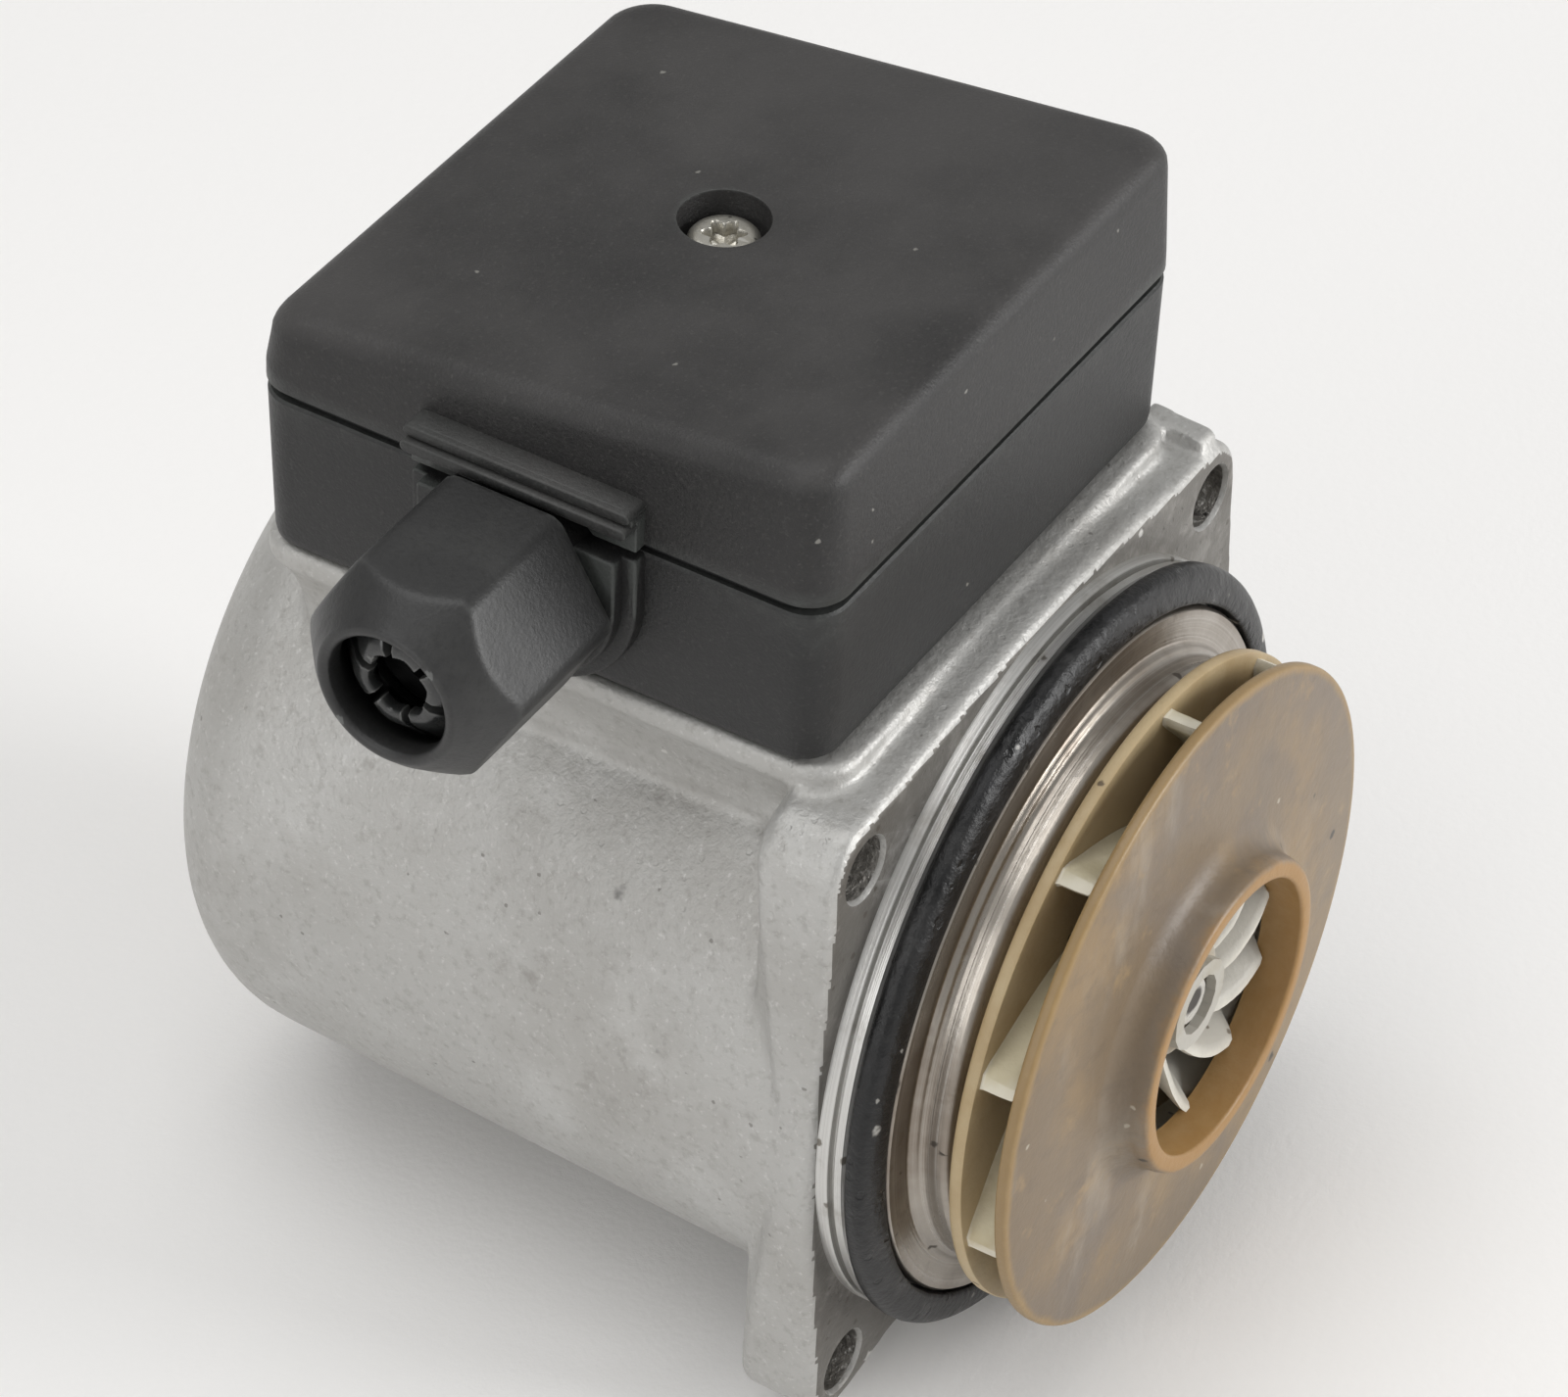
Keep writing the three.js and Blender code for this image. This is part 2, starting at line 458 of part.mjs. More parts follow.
// Vane outline in X and Z: a spiral that winds anticlockwise outwards, thicker at its tip.
function vaneShape(index) {
  const at = (s, side) => {
    const r = VANE.from + (VANE.to - VANE.from) * s;
    const deg = VANE.phase - VANE.wrap * (1 - s) ** 1.35 + (360 / IMPELLER.vanes) * index;
    const half = (VANE.inletT + (VANE.tipT - VANE.inletT) * s) / 2;
    const a = THREE.MathUtils.degToRad(deg) + (side * half) / r;
    return new THREE.Vector2(r * Math.cos(a), -r * Math.sin(a));
  };
  const points = [];
  for (let i = 0; i <= VANE.steps; i++) points.push(at(i / VANE.steps, 1));
  for (let i = VANE.steps; i >= 0; i--) points.push(at(i / VANE.steps, -1));
  return new THREE.Shape(points);
}

function impellerBody() {
  let body = turned([
    [SHAFT.nose + GAP, IMPELLER.back], [IMPELLER.r - 0.3, IMPELLER.back], [IMPELLER.r, IMPELLER.back - 0.3],
    [IMPELLER.r, IMPELLER.web], [12, IMPELLER.web - 0.2], [8.4, IMPELLER.web - 1.4], [EYE_HUB.r + 0.3, -16],
    [EYE_HUB.r, EYE_HUB.front + 0.8], [EYE_HUB.r - 0.8, EYE_HUB.front], [SHAFT.nose + GAP, EYE_HUB.front],
    [SHAFT.nose + GAP, IMPELLER.back],
  ]);
  const envelope = turned([
    [0, -12], [36, -12], [36, IMPELLER.rimIn + GAP], [20, IMPELLER.rimIn - 0.4], [15.2, -18.4],
    [EYE_HUB.r, -17.6], [0, -17.6],
  ]);
  for (let i = 0; i < IMPELLER.vanes; i++)
    body = body.add(slab(vaneShape(i), -21, -12.2).intersect(envelope));
  return body.subtract(disc(SHAFT.nose + GAP, -30, 0, SMALL_ARC));
}

// Front disc: its back follows the vanes, its front runs up a fillet into the neck ring.
function impellerFrontShroud() {
  const { rimIn, rimOut, rimR } = IMPELLER;
  const fillet = [];
  for (let i = 0; i <= 3; i++) {
    const a = (Math.PI / 2) * (i / 3);
    const r = NECK.outer + NECK.fillet * (1 - Math.sin(a));
    fillet.push([r, rimOut - 0.9 - NECK.fillet * (1 - Math.cos(a))]);
  }
  return turned([
    [NECK.inner, -18.9], [20, rimIn - 0.7], [rimR - 0.3, rimIn], [rimR, rimIn - 0.3], [rimR, rimOut + 0.3],
    [rimR - 0.4, rimOut], ...fillet, [NECK.outer - 0.1, NECK.front + 0.4], [NECK.outer - 0.5, NECK.front],
    [NECK.inner + 0.3, NECK.front], [NECK.inner, NECK.front + 0.3], [NECK.inner, -18.9],
  ]);
}

const lockRing = () => tube(SHAFT.nose + GAP, 5, EYE_HUB.front - 0.1 - 1.3, EYE_HUB.front - GAP, SMALL_ARC);

// ---- stator -----------------------------------------------------------------------------------------
function statorCore() {
  let body = tube(STATOR.inner, STATOR.outer, STATOR.y0, STATOR.y1, ARC);
  for (let i = 0; i < STATOR.slots; i++) {
    const [g, a] = [new THREE.BoxGeometry(9, 60, STATOR.slotW), (2 * Math.PI * i) / STATOR.slots];
    body = body.subtract(solid(g.translate(STATOR.slotR - 2.4, 41, 0).rotateY(a)));
    const mouth = new THREE.BoxGeometry(8, 60, 1.2).translate(STATOR.inner + 1, 41, 0).rotateY(a);
    body = body.subtract(solid(mouth));
  }
  return body;
}
function coilHead(y, direction) {
  const [mid, half] = [(COIL.inner + COIL.outer) / 2, (COIL.outer - COIL.inner) / 2];
  const profile = [];
  for (let i = 0; i <= 6; i++) {
    const a = Math.PI * (i / 6);
    profile.push([mid - half * Math.cos(a), y + direction * COIL.height * Math.sin(a) ** 0.8]);
  }
  return turned([...profile, profile[0]], MID_ARC);
}

// ---- things inside the terminal box --------------------------------------------------------------------
const FLOOR = BOX.bottom + 2.4;
const BLOCK = { x: 14, y: 56.6, w: 24, d: 13, h: 12, ways: 3, pitch: 7 };
function terminalBlock() {
  let body = box(BLOCK.x - BLOCK.w / 2, BLOCK.x + BLOCK.w / 2, BLOCK.y - BLOCK.d / 2, BLOCK.y + BLOCK.d / 2,
    FLOOR + GAP, FLOOR + BLOCK.h);
  for (let i = 0; i < BLOCK.ways; i++) {
    const x = BLOCK.x + (i - 1) * BLOCK.pitch;
    body = body.subtract(placed(disc(2.4, -1, 6, 20), "-z", x, BLOCK.y, FLOOR + BLOCK.h));
    body = body.subtract(box(x - 1.8, x + 1.8, BLOCK.y - 9, BLOCK.y - 3.4, FLOOR + 2, FLOOR + 5.4));
  }
  return body;
}
function slottedScrew(x, y, z, r, headH, shank, length) {
  const screw = turned([
    [0, 0], [r - 0.3, 0], [r, 0.3], [r, headH], [shank, headH], [shank, length], [0, length],
  ], 12);
  return placed(screw, "-z", x, y, z).subtract(box(x - r - 1, x + r + 1, y - 0.35, y + 0.35, z - 0.7, z + 1));
}
const CAPACITOR = { x: -16.5, y: 53.6, z: 57, r: 10.5, length: 25 };
function capacitor() {
  const { r, length } = CAPACITOR;
  const can = turned([
    [0, 0], [r - 1.2, 0], [r, 1.2], [r, length - 1.2], [r - 1.2, length], [2.4, length],
    [2.4, length + 2], [0, length + 2],
  ], 28);
  return placed(can, "-x", CAPACITOR.x + length / 2, CAPACITOR.y, CAPACITOR.z);
}
const LEADS = [
  ["lead_live", -2.6, 0x6b3d1e, 0], ["lead_neutral", 0, 0x2b4f9c, 1], ["lead_start", 2.6, 0x1d1d1f, 2],
];
const lead = (dx, way) => {
  const x = BLOCK.x + (way - 1) * BLOCK.pitch;
  const [end, z] = [BLOCK.y - 6.9, FLOOR + 3.7];
  return wire([
    [dx, CABLE_PORT.y, 34], [dx, CABLE_PORT.y, 40], [dx * 1.2, CABLE_PORT.y + 0.8, 46],
    [6 + dx * 1.7, 24, z + 0.6], [x + (14 - x) * 0.4, 36, z], [x, end - 5, z], [x, end, z],
  ], 0.95);
};

// ---- assembly ---------------------------------------------------------------------------------------
addPart("stator_housing", statorHousing(), 0xb4b4b2, 0.7, 0.5);
addPart("terminal_box_base", terminalBoxBase(), 0x2f3030);
addPart("terminal_box_lid", terminalBoxLid(), 0x353535);
addPart("lid_screw", lidScrew(), 0xb9b6ac, 0.9, 0.35);
addPart("lid_gasket", lidGasket(), 0x151515, 0, 0.9);
addPart("gland_nut", glandNut(), 0x2b2c2c);
addPart("gland_clamp_cage", glandCage(), 0x202121);
addPart("gland_seal", glandSeal(), 0x141414, 0, 0.9);
addPart("housing_seal_ring", sealRing(), 0x1b1b1c, 0, 0.8);
addPart("bearing_plate", bearingPlate(), 0xb9b2a8, 0.9, 0.3);
addPart("front_bearing", bush(-7), 0x3b3b3e, 0, 0.4);
addPart("rear_bearing", bush(64.9), 0x3b3b3e, 0, 0.4);
addPart("rotor_can", rotorCan(), 0xc4c4c2, 0.9, 0.3);
addPart("shaft", shaft(), 0xc9c8c4, 0.8, 0.3);
addPart("rotor_core", rotorCore(), 0x8d8f92, 0.8, 0.4);
addPart("thrust_washer", tube(4.3, 8, 3.4, 6, 24), 0x4a4a4c);
addPart("thrust_cushion", tube(4.3, 8, 6.3, 9, 24), 0x1a1a1a, 0, 0.9);
addPart("impeller_body", impellerBody(), 0xc2b48f);
addPart("impeller_front_shroud", impellerFrontShroud(), 0xa99474);
addPart("impeller_lock_ring", lockRing(), 0xb8b8b6, 0.8, 0.4);
addPart("stator_core", statorCore(), 0x6f7276, 0.7, 0.5);
addPart("front_coil_head", coilHead(STATOR.y0 - GAP, -1), 0xa3552a, 0.5, 0.5);
addPart("rear_coil_head", coilHead(STATOR.y1 + GAP, 1), 0xa3552a, 0.5, 0.5);
addPart("vent_plug", ventPlug(), 0xb59a4a, 0.8, 0.35);
addPart("vent_plug_seal", tube(5.2, 8, CAN.end + 0.15, CAN.end + 1.35, 24), 0x161616, 0, 0.9);
addPart("terminal_block", terminalBlock(), 0xd8d4c6);
for (let i = 0; i < BLOCK.ways; i++) {
  const x = BLOCK.x + (i - 1) * BLOCK.pitch;
  const screw = slottedScrew(x, BLOCK.y, FLOOR + BLOCK.h - 1.4, 2, 1.6, 1.2, 4);
  addPart(`terminal_screw_${i + 1}`, screw, 0xb79a52, 0.9, 0.35);
}
addPart("run_capacitor", capacitor(), 0xd9d9d4);
for (const [name, dx, color, way] of LEADS) addPart(name, lead(dx, way), color);
addPart("earth_screw", slottedScrew(27, 16, FLOOR + 3, 3, 2, 1.6, 2.7), 0xb79a52, 0.9, 0.35);
for (const [side, name] of [[-1, "left"], [1, "right"]])
  addPart(`box_fixing_screw_${name}`, slottedScrew(side * FIXING.x, FIXING.y, FLOOR + GAP + FIXING.headH,
    FIXING.head, FIXING.headH, FIXING.r, FIXING.length), 0xa9a9a6, 0.9, 0.4);

export default group;
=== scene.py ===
"""Circulator pump head: the visible pieces and finishes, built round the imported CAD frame.

Shapes are drawn in millimetres about the shaft axis: X to the right, Y along the shaft away from the
impeller, Z up, with y = 0 on the flange face. Skin.build moves them into the frame's metres.
"""

import logging
import math
from dataclasses import dataclass, field
from enum import Enum
from typing import Callable, Iterable, Optional, Sequence

import bmesh
import bpy
from mathutils import Matrix, Vector, noise


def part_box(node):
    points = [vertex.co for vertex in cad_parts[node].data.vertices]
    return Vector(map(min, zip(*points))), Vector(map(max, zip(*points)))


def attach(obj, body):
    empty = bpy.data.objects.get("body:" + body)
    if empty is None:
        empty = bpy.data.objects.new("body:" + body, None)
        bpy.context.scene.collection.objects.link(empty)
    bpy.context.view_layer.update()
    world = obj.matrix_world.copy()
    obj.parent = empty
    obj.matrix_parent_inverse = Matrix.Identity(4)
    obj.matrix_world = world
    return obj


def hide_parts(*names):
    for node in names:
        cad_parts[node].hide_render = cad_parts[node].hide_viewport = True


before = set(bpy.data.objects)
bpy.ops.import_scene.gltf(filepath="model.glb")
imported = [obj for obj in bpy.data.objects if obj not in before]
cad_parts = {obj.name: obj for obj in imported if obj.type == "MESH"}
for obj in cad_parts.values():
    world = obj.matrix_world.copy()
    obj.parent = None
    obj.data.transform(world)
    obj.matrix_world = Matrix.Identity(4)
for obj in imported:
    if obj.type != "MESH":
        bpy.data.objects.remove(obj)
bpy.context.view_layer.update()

LOG = logging.getLogger("pump_head")

Point = tuple[float, float, float]
Flat = tuple[float, float]
Outline = list[Flat]
Profile = Sequence[Flat]
Colour = tuple[float, float, float, float]

NECK_REACH = 23.5  # from the flange face forward to the neck ring's end
MM = 0.001
ON_AXIS = 1e-6  # a smaller radius, in millimetres, lies on the axis
WELD = 1e-6  # points closer than this, in metres, are one


class Body(Enum):
    """The CAD bodies that pieces ride on."""

    MOTOR = "motor"
    ROTOR = "rotor"
    LID = "lid"
    SCREW = "screw"
    CLAMP = "clamp"
    NUT = "nut"


class Along(Enum):
    """The direction that a turned piece's own axis runs in."""

    SHAFT = "y"
    GLAND = "-x"
    DOWN = "-z"
    UP = "z"


class Carving(Enum):
    """What a second closed shape does to the first."""

    CUT = "DIFFERENCE"
    JOIN = "UNION"


def datum() -> Vector:
    """Finds where the shaft axis meets the flange face.

    Returns:
        The point in the row frame, in metres.
    """
    low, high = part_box("impeller_front_shroud")
    return Vector(((low.x + high.x) / 2, low.y + NECK_REACH * MM, (low.z + high.z) / 2))


DATUM = datum()


# ---- mesh building ----
class Skin:
    """A mesh under construction, in millimetres about the shaft axis."""

    def __init__(self) -> None:
        """Starts with no points and no faces."""
        self.points: list[Point] = []
        self.faces: list[tuple[int, ...]] = []

    def ring(self, points: Iterable[Point]) -> list[int]:
        """Adds points.

        Args:
            points: the ring's points in order.

        Returns:
            Their indices.
        """
        start = len(self.points)
        self.points += [tuple(p) for p in points]
        return list(range(start, len(self.points)))

    def bridge(self, a: list[int], b: list[int]) -> None:
        """Joins two closed rings of equal length with quads.

        Args:
            a: the first ring.
            b: the second ring.
        """
        n = len(a)
        for i in range(n):
            j = (i + 1) % n
            self.faces.append((a[i], a[j], b[j], b[i]))

    def loft(self, rings: Sequence[Sequence[Point]], cyclic: bool = False) -> "Skin":
        """Skins over rings that hold the same number of points.

        Args:
            rings: the rings in order.
            cyclic: whether the last ring joins back to the first. If not, each end gets one face.

        Returns:
            This skin.
        """
        made = [self.ring(r) for r in rings]
        for a, b in zip(made, made[1:]):
            self.bridge(a, b)
        if cyclic:
            self.bridge(made[-1], made[0])
        else:
            self.faces += [tuple(reversed(made[0])), tuple(made[-1])]
        return self

    def turn(
        self,
        profile: Profile,
        along: Along = Along.SHAFT,
        centre: Point = (0, 0, 0),
        segments: int = 128,
        wobble: Optional[Callable[[float, float, float], float]] = None,
    ) -> "Skin":
        """Revolves a profile of (radius, distance along the axis). Radius 0 ends close on the axis.

        Args:
            profile: the outline, closed by joining its end to its start unless both ends lie on the axis.
            along: where the axis points.
            centre: a point on the axis, where the distance is 0.
            segments: facets round the axis.
            wobble: an offset to the radius for (radius, distance, angle).

        Returns:
            This skin.
        """
        closed = all(p[0] >= ON_AXIS for p in profile)
        rings = []
        for r, h in (p for p in profile if p[0] >= ON_AXIS):
            ring = []
            for i in range(segments):
                a = 2 * math.pi * i / segments
                rr = r + (wobble(r, h, a) if wobble else 0.0)
                ring.append(self.aim(rr * math.cos(a), h, rr * math.sin(a), along, centre))
            rings.append(self.ring(ring))
        for a, b in zip(rings, rings[1:]):
            self.bridge(a, b)
        if closed:
            self.bridge(rings[-1], rings[0])
            return self
        for ring, (_, h) in ((rings[0], profile[0]), (rings[-1], profile[-1])):
            tip = self.ring([self.aim(0, h, 0, along, centre)])[0]
            n = len(ring)
            self.faces += [(ring[i], ring[(i + 1) % n], tip) for i in range(n)]
        return self

    @staticmethod
    def aim(x: float, h: float, z: float, along: Along, centre: Point) -> Point:
        """Turns a point made about Y so that its axis runs along another direction.

        Args:
            x: sideways distance.
            h: distance along the piece's own axis.
            z: the other sideways distance.
            along: where the axis points.
            centre: the point that h = 0 lands on.

        Returns:
            The turned and moved point.
        """
        cx, cy, cz = centre
        if along is Along.SHAFT:
            return (cx + x, cy + h, cz + z)
        if along is Along.GLAND:
            return (cx - h, cy + x, cz + z)
        if along is Along.DOWN:
            return (cx + x, cy + z, cz - h)
        return (cx + x, cy + z, cz + h)

    def prism(self, outline: Profile, x0: float, x1: float) -> "Skin":
        """Extrudes an outline in (y, z) along X.

        Args:
            outline: the outline's points in order.
            x0: where it starts.
            x1: where it ends.

        Returns:
            This skin.
        """
        return self.loft([[(x0, y, z) for y, z in outline], [(x1, y, z) for y, z in outline]])

    def join(self, other: "Skin") -> "Skin":
        """Adds another skin's points and faces.

        Args:
            other: the skin that is added.

        Returns:
            This skin.
        """
        n = len(self.points)
        self.points += other.points
        self.faces += [tuple(i + n for i in f) for f in other.faces]
        return self

    def build(self, name: str, bevel: float = 0.0, angle: float = 35.0, steps: int = 2) -> bpy.types.Object:
        """Makes the Blender object in the row frame.

        Args:
            name: the object's name.
            bevel: the width of a round put on edges sharper than angle, in millimetres.
            angle: the sharpest edge, in degrees, that is shaded smooth.
            steps: segments in the round.

        Returns:
            The object, linked to the scene.
        """
        mesh = bpy.data.meshes.new(name)
        mesh.from_pydata([Vector(p) * MM + DATUM for p in self.points], [], self.faces)
        obj = bpy.data.objects.new(name, mesh)
        bpy.context.scene.collection.objects.link(obj)
        tidy_mesh(obj, bevel, angle, steps)
        return obj


def tidy_mesh(obj: bpy.types.Object, bevel: float = 0.0, angle: float = 35.0, steps: int = 2) -> None:
    """Turns faces outwards, rounds sharp edges and sets smooth shading.

    Args:
        obj: the mesh object.
        bevel: the width of the round, in millimetres.
        angle: the sharpest edge, in degrees, that is shaded smooth.
        steps: segments in the round.
    """
    bm = bmesh.new()
    bm.from_mesh(obj.data)
    bmesh.ops.remove_doubles(bm, verts=bm.verts, dist=WELD)
    bmesh.ops.recalc_face_normals(bm, faces=bm.faces)
    limit = math.radians(angle)
    if bevel:
        sharp = [e for e in bm.edges if len(e.link_faces) == 2 and e.calc_face_angle(0) > limit]
        bmesh.ops.bevel(
            bm, geom=sharp, offset=bevel * MM, offset_type="OFFSET", segments=steps, profile=0.5,
            affect="EDGES", clamp_overlap=True,
        )
    for f in bm.faces:
        f.smooth = True
    for e in bm.edges:
        e.smooth = len(e.link_faces) != 2 or e.calc_face_angle(0) < limit
    bm.to_mesh(obj.data)
    bm.free()


def carve(obj: bpy.types.Object, tool: bpy.types.Object, how: Carving = Carving.CUT) -> None:
    """Cuts an object with another, or joins the two. The other one is then removed.

    Args:
        obj: the object that changes.
        tool: the closed shape that cuts it or is joined to it.
        how: whether it cuts or joins.
    """
    mod = obj.modifiers.new("carve", "BOOLEAN")
    mod.operation, mod.solver, mod.object = how.value, "EXACT", tool
    mod.use_self = True
    apply_modifiers(obj)
    bpy.data.objects.remove(tool)


def apply_modifiers(obj: bpy.types.Object) -> None:
    """Replaces an object's mesh with the result of its modifiers.

    Args:
        obj: the mesh object.
    """
    bpy.context.view_layer.update()
    evaluated = obj.evaluated_get(bpy.context.evaluated_depsgraph_get())
    mesh = bpy.data.meshes.new_from_object(evaluated)
    obj.modifiers.clear()
    obj.data = mesh


def cast(obj: bpy.types.Object, voxel: float, smoothing: int, keep: float) -> None:
    """Remeshes a shape so that its corners and joins take the soft radius of a casting.

    Args:
        obj: the mesh object.
        voxel: the grid size, in millimetres.
        smoothing: how many rounds of smoothing follow.
        keep: the share of faces kept at the end.
    """
    mod = obj.modifiers.new("cast", "REMESH")
    mod.mode, mod.voxel_size, mod.use_smooth_shade = "VOXEL", voxel * MM, True
    if smoothing:
        soft = obj.modifiers.new("soften", "SMOOTH")
        soft.factor, soft.iterations = 0.5, smoothing
    thin = obj.modifiers.new("thin", "DECIMATE")
    thin.ratio = keep
    apply_modifiers(obj)
    tidy_mesh(obj, 0.0, 40.0)


# ---- outlines ----
SIDE_POINTS, CORNER_POINTS = 14, 10
CORNER_SPAN = 44.0  # degrees of a circle that stand for one of the square's corners


def arc(centre: Flat, r: float, start: float, end: float, steps: int) -> Outline:
    """Points along a circular arc.

    Args:
        centre: the arc's centre.
        r: its radius.
        start: the first angle, in degrees.
        end: the last angle, in degrees.
        steps: segments.

    Returns:
        The points, one more than there are segments.
    """
    points = []
    for i in range(steps + 1):
        a = math.radians(start + (end - start) * i / steps)
        points.append((centre[0] + r * math.cos(a), centre[1] + r * math.sin(a)))
    return points


def between(p: Flat, q: Flat, t: float) -> Flat:
    """The point a share t of the way from p to q."""
    return (p[0] + (q[0] - p[0]) * t, p[1] + (q[1] - p[1]) * t)


def mixed(a: Profile, b: Profile, t: float) -> Outline:
    """Points a share t of the way from outline a to outline b."""
    return [between(p, q, t) for p, q in zip(a, b)]


def square_ring(hx: float, hy: float, r: float, centre: Flat) -> Outline:
    """Points round a rounded rectangle, in an order that matches round_ring.

    Args:
        hx: half the size along the first axis.
        hy: half the size along the second axis.
        r: the corner radius.
        centre: the middle.

    Returns:
        The points.
    """
    corners = []
    for sx, sy, start in ((1, 1, 0), (-1, 1, 90), (-1, -1, 180), (1, -1, 270)):
        middle = (centre[0] + sx * (hx - r), centre[1] + sy * (hy - r))
        corners.append(arc(middle, r, start, start + 90, CORNER_POINTS))
    points = []
    for here, there in zip(corners, corners[1:] + corners[:1]):
        points += here
        points += [between(here[-1], there[0], i / SIDE_POINTS) for i in range(1, SIDE_POINTS)]
    return points


def round_ring(r: float, centre: Flat) -> Outline:
    """Points round a circle, matched one to one with square_ring's.

    Args:
        r: the radius.
        centre: the middle.

    Returns:
        The points.
    """
    points = []
    for k in range(4):
        first = 45 + 90 * k - CORNER_SPAN / 2
        points += arc(centre, r, first, first + CORNER_SPAN, CORNER_POINTS)
        points += arc(centre, r, first + CORNER_SPAN, first + 90, SIDE_POINTS)[1:-1]
    return points


# ---- finishes ----
def tone(red: int, green: int, blue: int) -> Colour:
    """Linear colour from everyday 0 to 255 values.

    Args:
        red: 0 to 255.
        green: 0 to 255.
        blue: 0 to 255.

    Returns:
        The colour, with full alpha.
    """
    def linear(v: int) -> float:
        """One channel from the screen's curve to linear."""
        c = v / 255
        return c / 12.92 if c <= 0.04045 else ((c + 0.055) / 1.055) ** 2.4

    return (linear(red), linear(green), linear(blue), 1.0)


class Tree:
    """Short calls for wiring one node tree."""

    def __init__(self, tree: bpy.types.NodeTree) -> None:
        """Holds the tree to be wired."""
        self.tree = tree

    def add(self, kind: str, inputs: Optional[dict] = None, **settings: object) -> bpy.types.Node:
        """Adds a node.

        Args:
            kind: the node's type name, without its ShaderNode or NodeGroup start.
            inputs: socket name or number to a plain value or to another node's output.
            settings: the node's own properties.

        Returns:
            The node.
        """
        full = kind if kind.startswith("NodeGroup") else "ShaderNode" + kind
        node = self.tree.nodes.new(full)
        for key, value in settings.items():
            setattr(node, key, value)
        for key, value in (inputs or {}).items():
            self.feed(node.inputs[key], value)
        return node

    def feed(self, socket: bpy.types.NodeSocket, value: object) -> None:
        """Links a socket to another node's output, or sets its plain value.

        Args:
            socket: the input socket.
            value: the output that feeds it, or the value.
        """
        if isinstance(value, bpy.types.NodeSocket):
            self.tree.links.new(value, socket)
        else:
            socket.default_value = value

    def math(self, operation: str, a: object, b: object = 0.0, clamp: bool = False) -> bpy.types.NodeSocket:
        """The output of a Math node on two values or sockets."""
        return self.add("Math", {0: a, 1: b}, operation=operation, use_clamp=clamp).outputs[0]

    def vector(self, operation: str, a: object, b: object = (0, 0, 0)) -> bpy.types.NodeSocket:
        """The vector output of a Vector Math node."""
        return self.add("VectorMath", {0: a, 1: b}, operation=operation).outputs[0]

    def ramp(self, value: object, low: object, high: object) -> bpy.types.NodeSocket:
        """Smooth step of a value between two limits, as 0 to 1."""
        inputs = {"Value": value, "From Min": low, "From Max": high}
        return self.add("MapRange", inputs, interpolation_type="SMOOTHSTEP").outputs["Result"]

    def swing(self, value: object, reach: float) -> bpy.types.NodeSocket:
        """A value from 0 to 1, brought to run evenly about zero over a reach."""
        return self.add("Math", {0: value, 1: reach, 2: -reach / 2}, operation="MULTIPLY_ADD").outputs[0]

    def blend(self, factor: object, a: object, b: object) -> bpy.types.NodeSocket:
        """Colour a mixed towards colour b by a factor.

        Args:
            factor: 0 for colour a, 1 for colour b.
            a: the first colour.
            b: the second colour.

        Returns:
            The mixed colour.
        """
        node = self.add("Mix", {}, data_type="RGBA")
        for key, value in ((0, factor), (6, a), (7, b)):  # the colour sockets' numbers
            self.feed(node.inputs[key], value)
        return node.outputs[2]


class Effect(Enum):
    """Surface effects, each one a node group that every finish can place."""

    CLOUDS = "clouds"
    SPECKS = "specks"
    EDGES = "edges"
    HOLLOWS = "hollows"
    # lighter colour on faces that look up: a painted highlight
    LIT_TOPS = "tops"
    TURNED = "turned"
    RADIUS = "radius"


FLOAT, VECTOR = "NodeSocketFloat", "NodeSocketVector"
COMMON_INPUTS = (
    ("Scale", FLOAT, 100.0), ("Seed", FLOAT, 0.0), ("Low", FLOAT, 0.4), ("High", FLOAT, 0.6),
    ("Stretch", VECTOR, (1.0, 1.0, 1.0)), ("Centre", VECTOR, tuple(DATUM)),
)
BEND_RAGGED = 0.05  # how far noise moves an edge's or a hollow's limit
RADIUS_RAGGED = 0.0016  # how far noise moves a radius's limit, in metres
_groups: dict[Effect, bpy.types.NodeTree] = {}


def effect_group(effect: Effect) -> bpy.types.NodeTree:
    """The node group of an effect, built the first time it is asked for.

    Args:
        effect: which effect.

    Returns:
        The group, whose Mask output runs from 0 to 1.
    """
    if effect in _groups:
        return _groups[effect]
    group = bpy.data.node_groups.new("effect_" + effect.value, "ShaderNodeTree")
    for name, kind, value in COMMON_INPUTS:
        group.interface.new_socket(name, in_out="INPUT", socket_type=kind).default_value = value
    group.interface.new_socket("Mask", in_out="OUTPUT", socket_type=FLOAT)
    t = Tree(group)
    put = t.add("NodeGroupInput").outputs
    out = t.add("NodeGroupOutput")
    where = t.add("TexCoord").outputs["Object"]
    stretched = t.vector("MULTIPLY", where, put["Stretch"])
    across = t.math("MULTIPLY", put["Seed"], 1.7)
    shift = t.add("CombineXYZ", {"X": put["Seed"], "Y": put["Seed"], "Z": across})
    spot = t.vector("ADD", stretched, shift.outputs[0])
    noise_inputs = {"Vector": spot, "Scale": put["Scale"], "Detail": 5.0, "Roughness": 0.62}
    cloud = t.add("TexNoise", noise_inputs).outputs[0]
    t.feed(out.inputs["Mask"], effect_mask(effect, t, put, where, spot, cloud))
    _groups[effect] = group
    return group


